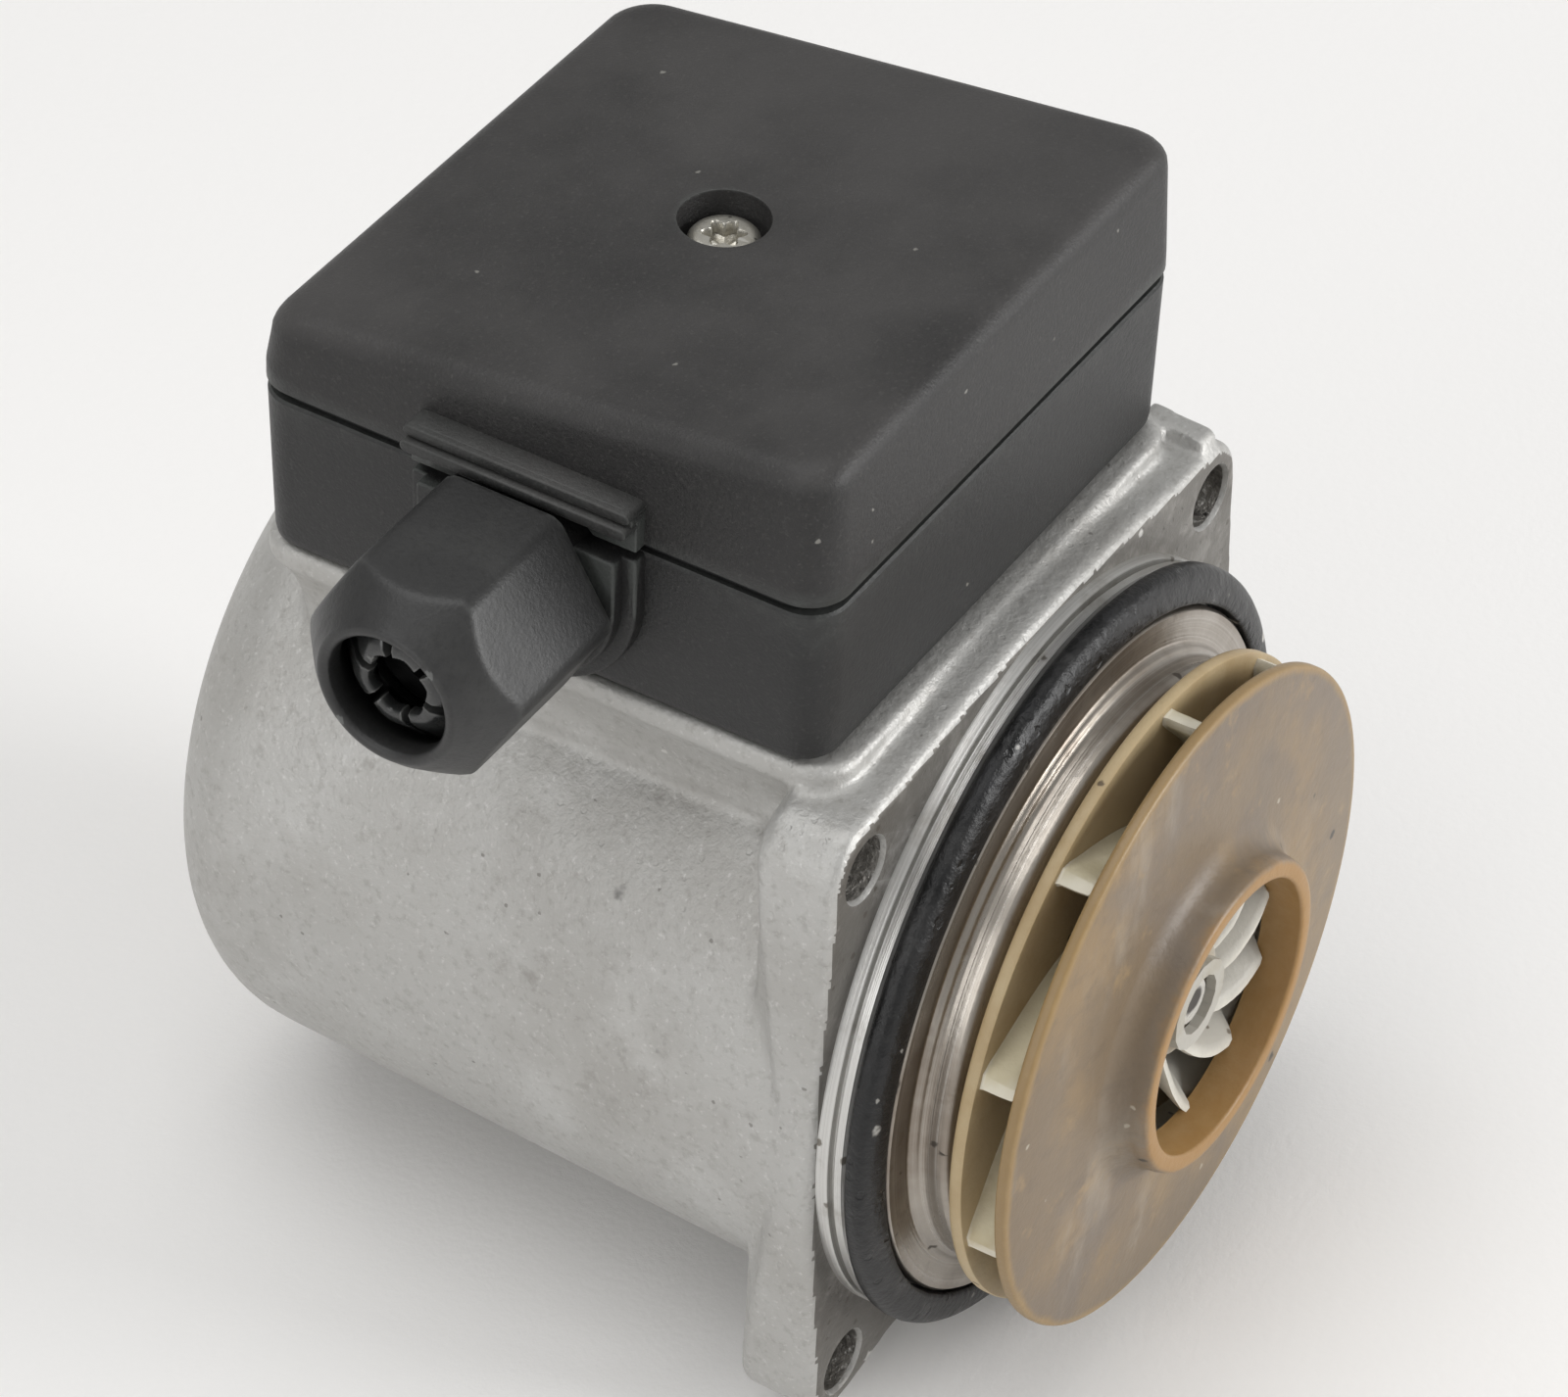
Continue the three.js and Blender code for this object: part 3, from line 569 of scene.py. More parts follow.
def effect_mask(
    effect: Effect,
    t: Tree,
    put: bpy.types.NodeOutputs,
    where: bpy.types.NodeSocket,
    spot: bpy.types.NodeSocket,
    cloud: bpy.types.NodeSocket,
) -> bpy.types.NodeSocket:
    """Wires what is special to one effect.

    Args:
        effect: which effect.
        t: the group's tree.
        put: the group's inputs.
        where: the place on the object.
        spot: the same place, stretched and shifted by the seed.
        cloud: noise from 0 to 1 at that place.

    Returns:
        The mask, from 0 to 1.
    """
    if effect is Effect.CLOUDS:
        return t.ramp(cloud, put["Low"], put["High"])
    if effect is Effect.SPECKS:
        finer = t.math("MULTIPLY", put["Scale"], 2.5)
        ragged = t.add("TexNoise", {"Vector": spot, "Scale": finer, "Detail": 2.0})
        bent = t.vector("MULTIPLY_ADD", ragged.outputs["Color"], (0.35, 0.35, 0.35))
        scaled = t.add("VectorMath", {0: spot, "Scale": put["Scale"]}, operation="SCALE").outputs[0]
        cell = t.add("TexVoronoi", {"Vector": t.vector("ADD", scaled, bent), "Scale": 1.0})
        near = t.ramp(cell.outputs["Distance"], put["High"], t.math("MULTIPLY", put["High"], 0.55))
        chance = t.add("SeparateColor", {0: cell.outputs["Color"]}).outputs[0]
        return t.math("MULTIPLY", near, t.math("LESS_THAN", chance, put["Low"]))
    if effect in (Effect.EDGES, Effect.HOLLOWS):
        bend = t.add("NewGeometry").outputs["Pointiness"]
        return t.ramp(t.math("ADD", bend, t.swing(cloud, BEND_RAGGED)), put["Low"], put["High"])
    # painted highlight: faces that look up are lightened, broken up by noise
    if effect is Effect.LIT_TOPS:
        up = t.add("SeparateXYZ", {0: t.add("NewGeometry").outputs["Normal"]}).outputs["Z"]
        return t.math("MULTIPLY", t.ramp(up, 0.1, 0.85), t.ramp(cloud, put["Low"], put["High"]))
    off = t.add("SeparateXYZ", {0: t.vector("SUBTRACT", where, put["Centre"])})
    flat = t.add("CombineXYZ", {"X": off.outputs["X"], "Y": off.outputs["Z"]}).outputs[0]
    radius = t.add("VectorMath", {0: flat}, operation="LENGTH").outputs["Value"]
    if effect is Effect.RADIUS:
        return t.ramp(t.math("ADD", radius, t.swing(cloud, RADIUS_RAGGED)), put["Low"], put["High"])
    line = t.add("CombineXYZ", {"X": radius, "Y": off.outputs["Y"], "Z": put["Seed"]}).outputs[0]
    tool = t.add("TexNoise", {"Vector": line, "Scale": put["Scale"], "Detail": 3.0, "Roughness": 0.7})
    return t.ramp(tool.outputs[0], put["Low"], put["High"])


@dataclass(frozen=True)
class Layer:
    """One effect laid over a finish: where it falls, and what it does to colour, roughness and metal."""

    effect: Effect
    colour: Optional[Colour] = None
    amount: float = 1.0
    scale: float = 100.0
    low: float = 0.4
    high: float = 0.6
    seed: float = 0.0
    stretch: Point = (1.0, 1.0, 1.0)
    roughness: Optional[float] = None
    metallic: Optional[float] = None

    def mask(self, t: Tree) -> bpy.types.NodeSocket:
        """Places the effect's group in a material.

        Args:
            t: the material's tree.

        Returns:
            The effect's mask times the amount.
        """
        node = t.add("Group", {}, node_tree=effect_group(self.effect))
        node.label = self.effect.value
        for key in ("scale", "seed", "low", "high", "stretch"):
            node.inputs[key.capitalize()].default_value = getattr(self, key)
        return t.math("MULTIPLY", node.outputs["Mask"], self.amount, clamp=True)


@dataclass(frozen=True)
class Relief:
    """A bump: an effect and its height in millimetres."""

    layer: Layer
    height: float


COAT_ROUGHNESS = 0.25


@dataclass(frozen=True)
class Finish:
    """A material: a base, the layers over it, and its relief."""

    name: str
    base: Colour
    roughness: float = 0.5
    metallic: float = 0.0
    specular: float = 0.5
    coat: float = 0.0
    anisotropic: float = 0.0
    layers: tuple[Layer, ...] = ()
    reliefs: tuple[Relief, ...] = ()

    def build(self) -> bpy.types.Material:
        """Wires the material.

        Returns:
            The Blender material.
        """
        material = bpy.data.materials.new(self.name)
        material.use_nodes = True
        t = Tree(material.node_tree)
        shader = material.node_tree.nodes["Principled BSDF"]
        colour, rough, metal = self.base, self.roughness, self.metallic
        for layer in self.layers:
            mask = layer.mask(t)
            if layer.colour is not None:
                colour = t.blend(mask, colour, layer.colour)
            if layer.roughness is not None:
                rough = self.eased(t, mask, rough, layer.roughness)
            if layer.metallic is not None:
                metal = self.eased(t, mask, metal, layer.metallic)
        shader.inputs["Specular IOR Level"].default_value = self.specular
        shader.inputs["Coat Weight"].default_value = self.coat
        shader.inputs["Coat Roughness"].default_value = COAT_ROUGHNESS
        shader.inputs["Anisotropic"].default_value = self.anisotropic
        for key, value in (("Base Color", colour), ("Roughness", rough), ("Metallic", metal)):
            t.feed(shader.inputs[key], value)
        if self.anisotropic:
            tangent = t.add("Tangent", {}, direction_type="RADIAL", axis="Y")
            t.feed(shader.inputs["Tangent"], tangent.outputs[0])
        self.emboss(t, shader)
        return material

    @staticmethod
    def eased(t: Tree, mask: bpy.types.NodeSocket, value: object, goal: float) -> bpy.types.NodeSocket:
        """A number moved towards a goal by a mask."""
        return t.add("Mix", {0: mask, 2: value, 3: goal}, data_type="FLOAT").outputs[0]

    def emboss(self, t: Tree, shader: bpy.types.Node) -> None:
        """Adds up the reliefs and feeds them to the shader's normal.

        Args:
            t: the material's tree.
            shader: its Principled BSDF.
        """
        if not self.reliefs:
            return
        total = None
        for relief in self.reliefs:
            height = t.math("MULTIPLY", relief.layer.mask(t), relief.height * MM)
            total = height if total is None else t.math("ADD", total, height)
        bump = t.add("Bump", {"Height": total, "Strength": 1.0, "Distance": 1.0})
        t.feed(shader.inputs["Normal"], bump.outputs[0])


def grain(scale: float, height: float, seed: float = 0.0, low: float = 0.25, high: float = 0.75) -> Relief:
    """A bump of fine noise."""
    return Relief(Layer(Effect.CLOUDS, scale=scale, low=low, high=high, seed=seed), height)


def pits(scale: float, height: float, share: float = 0.3, size: float = 0.3, seed: float = 0.0) -> Relief:
    """A bump of scattered pits, or of grains where the height is positive."""
    return Relief(Layer(Effect.SPECKS, scale=scale, low=share, high=size, seed=seed), height)


def tool_marks(scale: float, height: float) -> Relief:
    """A bump of a lathe tool's fine rings."""
    return Relief(Layer(Effect.TURNED, scale=scale, low=0.3, high=0.7), height)


def clouds(colour: Colour, amount: float, scale: float, low: float, high: float, **more: object) -> Layer:
    """Patches of another colour."""
    return Layer(Effect.CLOUDS, colour, amount, scale, low, high, **more)


def specks(
    colour: Colour, share: float, size: float, scale: float, amount: float = 1.0, **more: object
) -> Layer:
    """Scattered dots of another colour."""
    return Layer(Effect.SPECKS, colour, amount, scale, share, size, **more)


def edges(colour: Colour, *where: float, **more: object) -> Layer:
    """Another colour on sharp edges: colour, amount, scale, and the limits of the edge. On the black plastic
    mouldings it is a painted highlight.
    """
    return Layer(Effect.EDGES, colour, *where, **more)


def hollows(colour: Colour, *where: float, **more: object) -> Layer:
    """Darker colour in hollows: colour, amount, scale, and the limits of the hollow."""
    return Layer(Effect.HOLLOWS, colour, *where, **more)


def turned(colour: Colour, *where: float, **more: object) -> Layer:
    """Rings left by a lathe tool: colour, amount, scale, low and high."""
    return Layer(Effect.TURNED, colour, *where, **more)


def by_radius(colour: Colour, *where: float, **more: object) -> Layer:
    """Another colour past a radius in metres: colour, amount, scale, from and to."""
    return Layer(Effect.RADIUS, colour, *where, **more)


CHALK, SOOT, OXIDE = tone(214, 212, 208), tone(38, 36, 34), tone(96, 82, 66)

CAST_ALUMINIUM = Finish(
    "cast_aluminium", tone(182, 181, 178), roughness=0.48, metallic=0.5, specular=0.45,
    layers=(
        clouds(tone(160, 157, 152), 0.5, 30, 0.42, 0.68, roughness=0.52),
        clouds(tone(204, 204, 202), 0.4, 75, 0.46, 0.72, seed=3.1, roughness=0.36),
        clouds(tone(146, 143, 138), 0.4, 900, 0.5, 0.7, seed=7.7),
        clouds(tone(220, 219, 217), 0.35, 1500, 0.56, 0.72, seed=11.3, roughness=0.34),
        clouds(tone(120, 116, 109), 0.4, 170, 0.63, 0.77, seed=15.3),
        hollows(tone(98, 93, 87), 0.6, 500, 0.47, 0.40, roughness=0.7),
        edges(tone(222, 221, 219), 0.5, 700, 0.53, 0.61, roughness=0.38, metallic=0.6),
        specks(tone(100, 96, 90), 0.06, 0.18, 640, 0.6, seed=1.3),
        specks(SOOT, 0.005, 0.3, 230, 0.85, seed=5.9),
        specks(CHALK, 0.02, 0.16, 380, 0.7, seed=9.2),
    ),
    reliefs=(grain(1500, 0.04), grain(520, 0.05, seed=2.0), pits(700, -0.04, 0.25, 0.3, seed=4.0)),
)
TURNED_ALUMINIUM = Finish(
    "turned_aluminium", tone(206, 205, 202), roughness=0.3, metallic=0.85, anisotropic=0.4,
    layers=(
        turned(tone(150, 147, 142), 0.6, 5200, 0.45, 0.7, roughness=0.42),
        clouds(tone(138, 132, 122), 0.55, 150, 0.5, 0.72, seed=2.2, roughness=0.5),
        specks(tone(92, 84, 72), 0.12, 0.3, 500, 0.8, seed=6.0),
    ),
    reliefs=(tool_marks(6000, 0.012), grain(900, 0.01)),
)
STAINLESS = Finish(
    "drawn_stainless", tone(172, 165, 156), roughness=0.28, metallic=0.92, anisotropic=0.45,
    layers=(
        clouds(tone(122, 110, 98), 0.65, 45, 0.42, 0.64, seed=1.0, roughness=0.38),
        turned(tone(222, 218, 212), 0.5, 2600, 0.5, 0.75, roughness=0.22),
        clouds(tone(122, 110, 98), 0.5, 330, 0.55, 0.75, seed=4.4, roughness=0.48),
        specks(tone(58, 50, 42), 0.14, 0.28, 420, 0.85, seed=8.0, roughness=0.7, metallic=0.2),
        specks(tone(34, 28, 24), 0.02, 0.4, 260, 0.9, seed=18.0, roughness=0.8, metallic=0.1),
        hollows(tone(90, 78, 64), 0.6, 400, 0.48, 0.42, roughness=0.55),
    ),
    reliefs=(tool_marks(2400, 0.012), grain(260, 0.03, seed=3.0)),
)
LID_PLASTIC = Finish(
    "lid_moulding", tone(41, 40, 40), roughness=0.46, specular=0.34,
    layers=(
        clouds(tone(52, 51, 50), 0.4, 30, 0.4, 0.66, roughness=0.5),
        clouds(tone(34, 34, 34), 0.5, 1700, 0.45, 0.65, seed=3.0, roughness=0.38),
        clouds(tone(76, 75, 73), 0.45, 2300, 0.55, 0.7, seed=13.0),
        # painted highlight: a greenish light colour along the sharp edges
        edges(tone(92, 97, 94), 0.5, 600, 0.52, 0.60, roughness=0.36),
        # painted highlight: lighter colour on the lid's upward faces
        Layer(Effect.LIT_TOPS, tone(84, 82, 81), 0.5, 22, 0.28, 0.66),
        specks(tone(150, 148, 142), 0.035, 0.14, 420, 0.6, seed=2.0),
        specks(tone(170, 168, 162), 0.006, 0.22, 190, 0.8, seed=8.8),
    ),
    reliefs=(grain(2600, 0.03), grain(1100, 0.015, seed=5.0)),
)
BASE_PLASTIC = Finish(
    "base_moulding", tone(36, 36, 36), roughness=0.46, specular=0.36,
    layers=(
        clouds(tone(45, 44, 44), 0.4, 40, 0.4, 0.66, roughness=0.5),
        clouds(tone(33, 33, 33), 0.5, 1500, 0.45, 0.65, seed=3.0, roughness=0.38),
        clouds(tone(68, 67, 65), 0.45, 2100, 0.55, 0.7, seed=13.0),
        # painted highlight: a greenish light colour along the sharp edges
        edges(tone(92, 96, 93), 0.45, 600, 0.53, 0.61, roughness=0.38),
        specks(tone(150, 146, 138), 0.04, 0.15, 420, 0.5, seed=2.0),
        specks(tone(160, 156, 148), 0.008, 0.26, 210, 0.7, seed=4.8),
    ),
    reliefs=(grain(2500, 0.03), grain(1000, 0.015, seed=5.0)),
)
GLAND_PLASTIC = Finish(
    "gland_moulding", tone(40, 40, 40), roughness=0.42, specular=0.5,
    layers=(
        clouds(tone(54, 54, 53), 0.5, 120, 0.42, 0.7, roughness=0.5),
        clouds(tone(28, 28, 28), 0.4, 1600, 0.48, 0.66, seed=3.0),
        # painted highlight: a light colour along the nut's sharp edges
        edges(tone(110, 112, 110), 0.6, 900, 0.52, 0.59, roughness=0.34),
        specks(tone(140, 138, 132), 0.02, 0.16, 520, 0.5, seed=2.0),
    ),
    reliefs=(grain(2200, 0.018), grain(500, 0.02, seed=5.0)),
)
CAGE_PLASTIC = Finish(
    "cage_moulding", tone(40, 41, 41), roughness=0.2, specular=0.6,
    layers=(
        clouds(tone(66, 66, 64), 0.5, 400, 0.45, 0.7),
        # painted highlight: a light colour along the sharp edges
        edges(tone(120, 120, 118), 0.5, 900, 0.53, 0.6),
    ),
    reliefs=(grain(1500, 0.01),),
)
WORN_RUBBER = Finish(
    "worn_rubber", tone(17, 17, 18), roughness=0.38, specular=0.4,
    layers=(
        clouds(tone(40, 40, 42), 0.5, 110, 0.5, 0.7, roughness=0.42),
        # painted highlight: greyer colour on the ring's upward faces
        Layer(Effect.LIT_TOPS, tone(84, 83, 82), 0.3, 130, 0.48, 0.7, roughness=0.55),
        clouds(tone(10, 10, 11), 0.8, 240, 0.5, 0.7, seed=6.0, roughness=0.2),
        specks(tone(160, 158, 152), 0.08, 0.22, 620, 0.7, seed=2.5),
        specks(tone(206, 203, 196), 0.015, 0.28, 330, 0.8, seed=12.5),
        specks(tone(8, 8, 8), 0.14, 0.34, 330, 0.9, seed=7.5),
    ),
    reliefs=(grain(900, 0.07), pits(520, -0.12, 0.25, 0.35, seed=3.0), grain(160, 0.14, seed=9.0)),
)
SOFT_RUBBER = Finish(
    "soft_rubber", tone(30, 30, 31), roughness=0.62,
    layers=(clouds(tone(48, 48, 48), 0.5, 200, 0.4, 0.7),), reliefs=(grain(1600, 0.02),),
)
# the ear holes' bored walls, darker than the casting: partly a bored finish, partly painted shade in the
# holes
BORED_ALUMINIUM_SHADE = Finish(
    "bored_aluminium_painted_shade", tone(132, 129, 124), roughness=0.4, metallic=0.8,
    layers=(
        clouds(tone(70, 67, 63), 0.7, 420, 0.48, 0.66, roughness=0.55),
        clouds(tone(206, 204, 200), 0.8, 900, 0.56, 0.66, seed=4.0, roughness=0.26),
        specks(SOOT, 0.2, 0.3, 700, 0.9, seed=2.0),
    ),
    reliefs=(grain(1100, 0.12), pits(900, -0.1, 0.4, 0.35, seed=4.0)),
)
FLANGE_FACE = Finish(
    "flange_face", tone(114, 111, 106), roughness=0.46, metallic=0.45, specular=0.4,
    layers=(
        clouds(tone(94, 90, 85), 0.7, 70, 0.42, 0.66, roughness=0.56),
        clouds(tone(156, 153, 148), 0.5, 240, 0.5, 0.72, seed=3.1, roughness=0.4),
        edges(tone(222, 221, 218), 0.8, 700, 0.53, 0.60, roughness=0.34, metallic=0.7),
        specks(tone(84, 78, 70), 0.16, 0.24, 560, 0.8, seed=1.3),
        specks(CHALK, 0.06, 0.24, 330, 0.8, seed=9.2),
    ),
    reliefs=(grain(1300, 0.03), grain(360, 0.05, seed=2.0), pits(600, -0.06, 0.3, 0.3, seed=4.0)),
)
DISC_COMPOSITE = Finish(
    "rear_disc_composite", tone(184, 164, 128), roughness=0.46, specular=0.45,
    layers=(
        clouds(tone(160, 134, 94), 0.6, 60, 0.45, 0.68, seed=1.0),
        clouds(tone(178, 162, 130), 0.5, 90, 0.5, 0.72, seed=6.0),
        by_radius(tone(172, 168, 158), 0.95, 200, 0.0205, 0.0140),
        hollows(tone(100, 76, 46), 0.6, 500, 0.47, 0.41),
        edges(tone(184, 160, 118), 0.5, 700, 0.53, 0.6),
        specks(tone(64, 50, 34), 0.06, 0.24, 520, 0.8, seed=2.0),
    ),
    reliefs=(grain(1400, 0.02), grain(300, 0.04, seed=3.0)),
)
VANE_COMPOSITE = Finish(
    "vane_composite", tone(192, 182, 152), roughness=0.46, specular=0.45,
    layers=(
        clouds(tone(164, 140, 96), 0.55, 55, 0.5, 0.72, seed=1.0),
        clouds(tone(216, 208, 184), 0.6, 95, 0.5, 0.72, seed=6.0),
        by_radius(tone(184, 181, 173), 0.95, 200, 0.0235, 0.0165),
        hollows(tone(116, 94, 62), 0.6, 500, 0.47, 0.41),
        edges(tone(230, 226, 214), 0.6, 700, 0.53, 0.6),
        specks(tone(86, 70, 50), 0.05, 0.22, 520, 0.7, seed=2.0),
    ),
    reliefs=(grain(1400, 0.02), grain(300, 0.04, seed=3.0)),
)
SHROUD_COMPOSITE = Finish(
    "shroud_composite", tone(120, 104, 84), roughness=0.4, specular=0.5,
    layers=(
        clouds(tone(142, 118, 84), 0.7, 48, 0.48, 0.66, seed=1.6),
        clouds(tone(112, 103, 95), 0.7, 38, 0.46, 0.66, seed=4.2, roughness=0.5),
        clouds(tone(162, 152, 138), 0.45, 85, 0.54, 0.74, seed=8.0, stretch=(1.0, 1.0, 0.35)),
        clouds(tone(106, 92, 76), 0.45, 420, 0.5, 0.72, seed=14.0, stretch=(0.6, 1.0, 1.0)),
        clouds(tone(160, 134, 96), 0.45, 230, 0.58, 0.74, seed=21.0),
        by_radius(tone(150, 123, 80), 0.8, 160, 0.0344, 0.0354),
        by_radius(tone(158, 118, 62), 0.85, 160, 0.0172, 0.0163),
        edges(tone(186, 162, 122), 0.45, 700, 0.53, 0.6),
        hollows(tone(108, 82, 50), 0.5, 500, 0.47, 0.42),
        specks(tone(30, 24, 18), 0.035, 0.26, 330, 0.9, seed=3.0),
        specks(tone(190, 182, 166), 0.05, 0.18, 460, 0.6, seed=5.0),
    ),
    reliefs=(grain(1300, 0.016), grain(240, 0.04, seed=3.0), grain(90, 0.06, seed=7.0)),
)
ZINC = Finish(
    "zinc_plate", tone(196, 193, 184), roughness=0.34, metallic=0.85,
    layers=(
        clouds(tone(168, 162, 148), 0.6, 500, 0.45, 0.7, roughness=0.46),
        hollows(tone(66, 62, 56), 0.7, 900, 0.47, 0.4, roughness=0.6),
        edges(tone(236, 234, 228), 0.6, 900, 0.53, 0.6),
        specks(tone(70, 66, 60), 0.1, 0.25, 1300, 0.7, seed=2.0),
    ),
    reliefs=(grain(2200, 0.012), grain(700, 0.02, seed=2.0)),
)
BRASS = Finish(
    "brass", tone(190, 156, 88), roughness=0.33, metallic=0.95,
    layers=(
        clouds(tone(140, 108, 60), 0.6, 240, 0.48, 0.72, roughness=0.5),
        turned(tone(214, 184, 116), 0.4, 3000, 0.5, 0.75),
        specks(tone(84, 66, 40), 0.08, 0.26, 700, 0.7),
    ),
    reliefs=(tool_marks(3500, 0.01),),
)
SLEEVE_STEEL = Finish(
    "sleeve_steel", tone(190, 190, 189), roughness=0.24, metallic=0.95, anisotropic=0.4,
    layers=(
        turned(tone(160, 158, 155), 0.5, 3000, 0.45, 0.7),
        clouds(tone(150, 140, 126), 0.4, 90, 0.5, 0.74, roughness=0.36),
    ),
    reliefs=(tool_marks(3000, 0.008),),
)
SHEET_LINES: Point = (0.0, 2200.0, 0.0)
WIRE_LINES: Point = (700.0, 1500.0, 700.0)
LAMINATIONS = Finish(
    "lamination_stack", tone(104, 106, 110), roughness=0.45, metallic=0.7,
    layers=(
        clouds(tone(58, 56, 56), 0.8, 1, 0.45, 0.55, stretch=SHEET_LINES),
        clouds(tone(120, 84, 52), 0.4, 120, 0.5, 0.75, seed=4.0, roughness=0.6),
    ),
    reliefs=(Relief(Layer(Effect.CLOUDS, scale=1, low=0.4, high=0.6, stretch=SHEET_LINES), 0.06),),
)
COPPER = Finish(
    "copper_winding", tone(156, 84, 44), roughness=0.34, metallic=0.6, coat=0.5,
    layers=(
        clouds(tone(84, 40, 20), 0.8, 1, 0.42, 0.58, stretch=WIRE_LINES),
        clouds(tone(196, 122, 72), 0.5, 300, 0.5, 0.7, seed=2.0),
    ),
    reliefs=(Relief(Layer(Effect.CLOUDS, scale=1, low=0.35, high=0.65, stretch=WIRE_LINES), 0.2),),
)
DARK_CERAMIC = Finish(
    "dark_ceramic", tone(58, 58, 60), roughness=0.3,
    layers=(
        turned(tone(84, 84, 86), 0.5, 2500, 0.45, 0.7),
        clouds(tone(44, 44, 46), 0.5, 300, 0.5, 0.7),
    ),
    reliefs=(tool_marks(3000, 0.006),),
)
SHAFT_CERAMIC = Finish(
    "shaft_ceramic", tone(196, 193, 186), roughness=0.26,
    layers=(
        clouds(tone(170, 164, 152), 0.6, 160, 0.45, 0.7, roughness=0.36),
        turned(tone(184, 180, 172), 0.4, 2600, 0.45, 0.7),
        # painted shade: a dark dot at the shaft's end that stands for its small hole
        by_radius(tone(40, 34, 28), 0.95, 300, 0.0019, 0.0012, roughness=0.6),
    ),
    reliefs=(tool_marks(3200, 0.006),),
)


def insulation(name: str, red: int, green: int, blue: int) -> Finish:
    """The coloured sleeve of a lead.

    Args:
        name: the finish's name.
        red: 0 to 255.
        green: 0 to 255.
        blue: 0 to 255.

    Returns:
        The finish.
    """
    deeper = tone(int(red * 0.72), int(green * 0.72), int(blue * 0.72))
    return Finish(
        name, tone(red, green, blue), roughness=0.38, specular=0.5,
        layers=(clouds(deeper, 0.6, 260, 0.45, 0.72, roughness=0.5), specks(CHALK, 0.04, 0.2, 900, 0.4)),
        reliefs=(grain(1500, 0.012), grain(250, 0.03, seed=3.0)),
    )


def moulding(name: str, red: int, green: int, blue: int, roughness: float = 0.45) -> Finish:
    """A pale moulded part inside the box.

    Args:
        name: the finish's name.
        red: 0 to 255.
        green: 0 to 255.
        blue: 0 to 255.
        roughness: the shader's roughness.

    Returns:
        The finish.
    """
    aged = tone(int(red * 0.88), int(green * 0.84), int(blue * 0.74))
    return Finish(
        name, tone(red, green, blue), roughness=roughness,
        layers=(
            clouds(aged, 0.6, 120, 0.45, 0.72), hollows(OXIDE, 0.5, 500, 0.47, 0.41),
            specks(OXIDE, 0.06, 0.2, 700, 0.5),
        ),
        reliefs=(grain(1600, 0.014), grain(300, 0.03, seed=3.0)),
    )


class PaintShop:
    """Builds each finish once and puts it on pieces."""

    def __init__(self) -> None:
        """Starts with no material made."""
        self.made: dict[str, bpy.types.Material] = {}

    def material(self, finish: Finish) -> bpy.types.Material:
        """The finish's material, built the first time.

        Args:
            finish: the finish.

        Returns:
            The Blender material.
        """
        if finish.name not in self.made:
            self.made[finish.name] = finish.build()
        return self.made[finish.name]

    def dress(self, obj: bpy.types.Object, *finishes: Finish) -> None:
        """Replaces an object's material slots.

        Args:
            obj: the piece.
            finishes: one finish per slot.
        """
        obj.data.materials.clear()
        for finish in finishes:
            obj.data.materials.append(self.material(finish))

    def fit(self, obj: bpy.types.Object, finish: Finish, body: Body, slot: str, *nodes: str) -> None:
        """Paints a piece all over and puts it on its body.

        Args:
            obj: the piece.
            finish: its finish.
            body: the body it moves with.
            slot: the record's material slot; not used.
            nodes: the CAD nodes that it replaces.
        """
        self.dress(obj, finish)
        place(obj, body, slot, *nodes)

    def repaint(self, finish: Finish, *nodes: str) -> None:
        """Gives CAD nodes that keep their own shape a better finish.

        Args:
            finish: the finish.
            nodes: the CAD nodes' names.
        """
        for name in nodes:
            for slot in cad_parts[name].material_slots:
                slot.material = self.material(finish)
            LOG.info("repainted %s in %s", name, finish.name)


# ---- housing ----
def place(obj: bpy.types.Object, body: Body, slot: str, *nodes: str) -> bpy.types.Object:
    """Puts a finished piece on its body and hides the CAD nodes that it stands for.

    Args:
        obj: the piece.
        body: the body it moves with.
        slot: the record's material slot; not used.
        nodes: the CAD nodes that it replaces.

    Returns:
        The piece.
    """
    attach(obj, body.value)
    if nodes:
        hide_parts(*nodes)
    LOG.info("built %s: %d faces on %s", obj.name, len(obj.data.polygons), body.value)
    return obj


def rod(r: float, h0: float, h1: float, along: Along, centre: Point, segments: int = 48) -> Skin:
    """A closed cylinder, used as a cutter or joined into a larger skin."""
    return Skin().turn([(0, h0), (r, h0), (r, h1), (0, h1)], along, centre, segments)


@dataclass(frozen=True)
class FloorWays:
    """The holes that run through both the housing's pad and the terminal box's floor."""

    lead: float = 5.0
    lead_y: float = 16.0
    fixing: float = 1.9
    fixing_x: float = 26.0
    fixing_y: float = 30.0

    def lead_way(self, low: float, high: float) -> Skin:
        """The hole that the leads pass through, between two heights."""
        return rod(self.lead, low, high, Along.UP, (0, self.lead_y, 0))

    def fixing_way(self, side: int, low: float, high: float) -> Skin:
        """The hole of one fixing screw, between two heights."""
        return rod(self.fixing, low, high, Along.UP, (side * self.fixing_x, self.fixing_y, 0), 24)


FLOOR_WAYS = FloorWays()


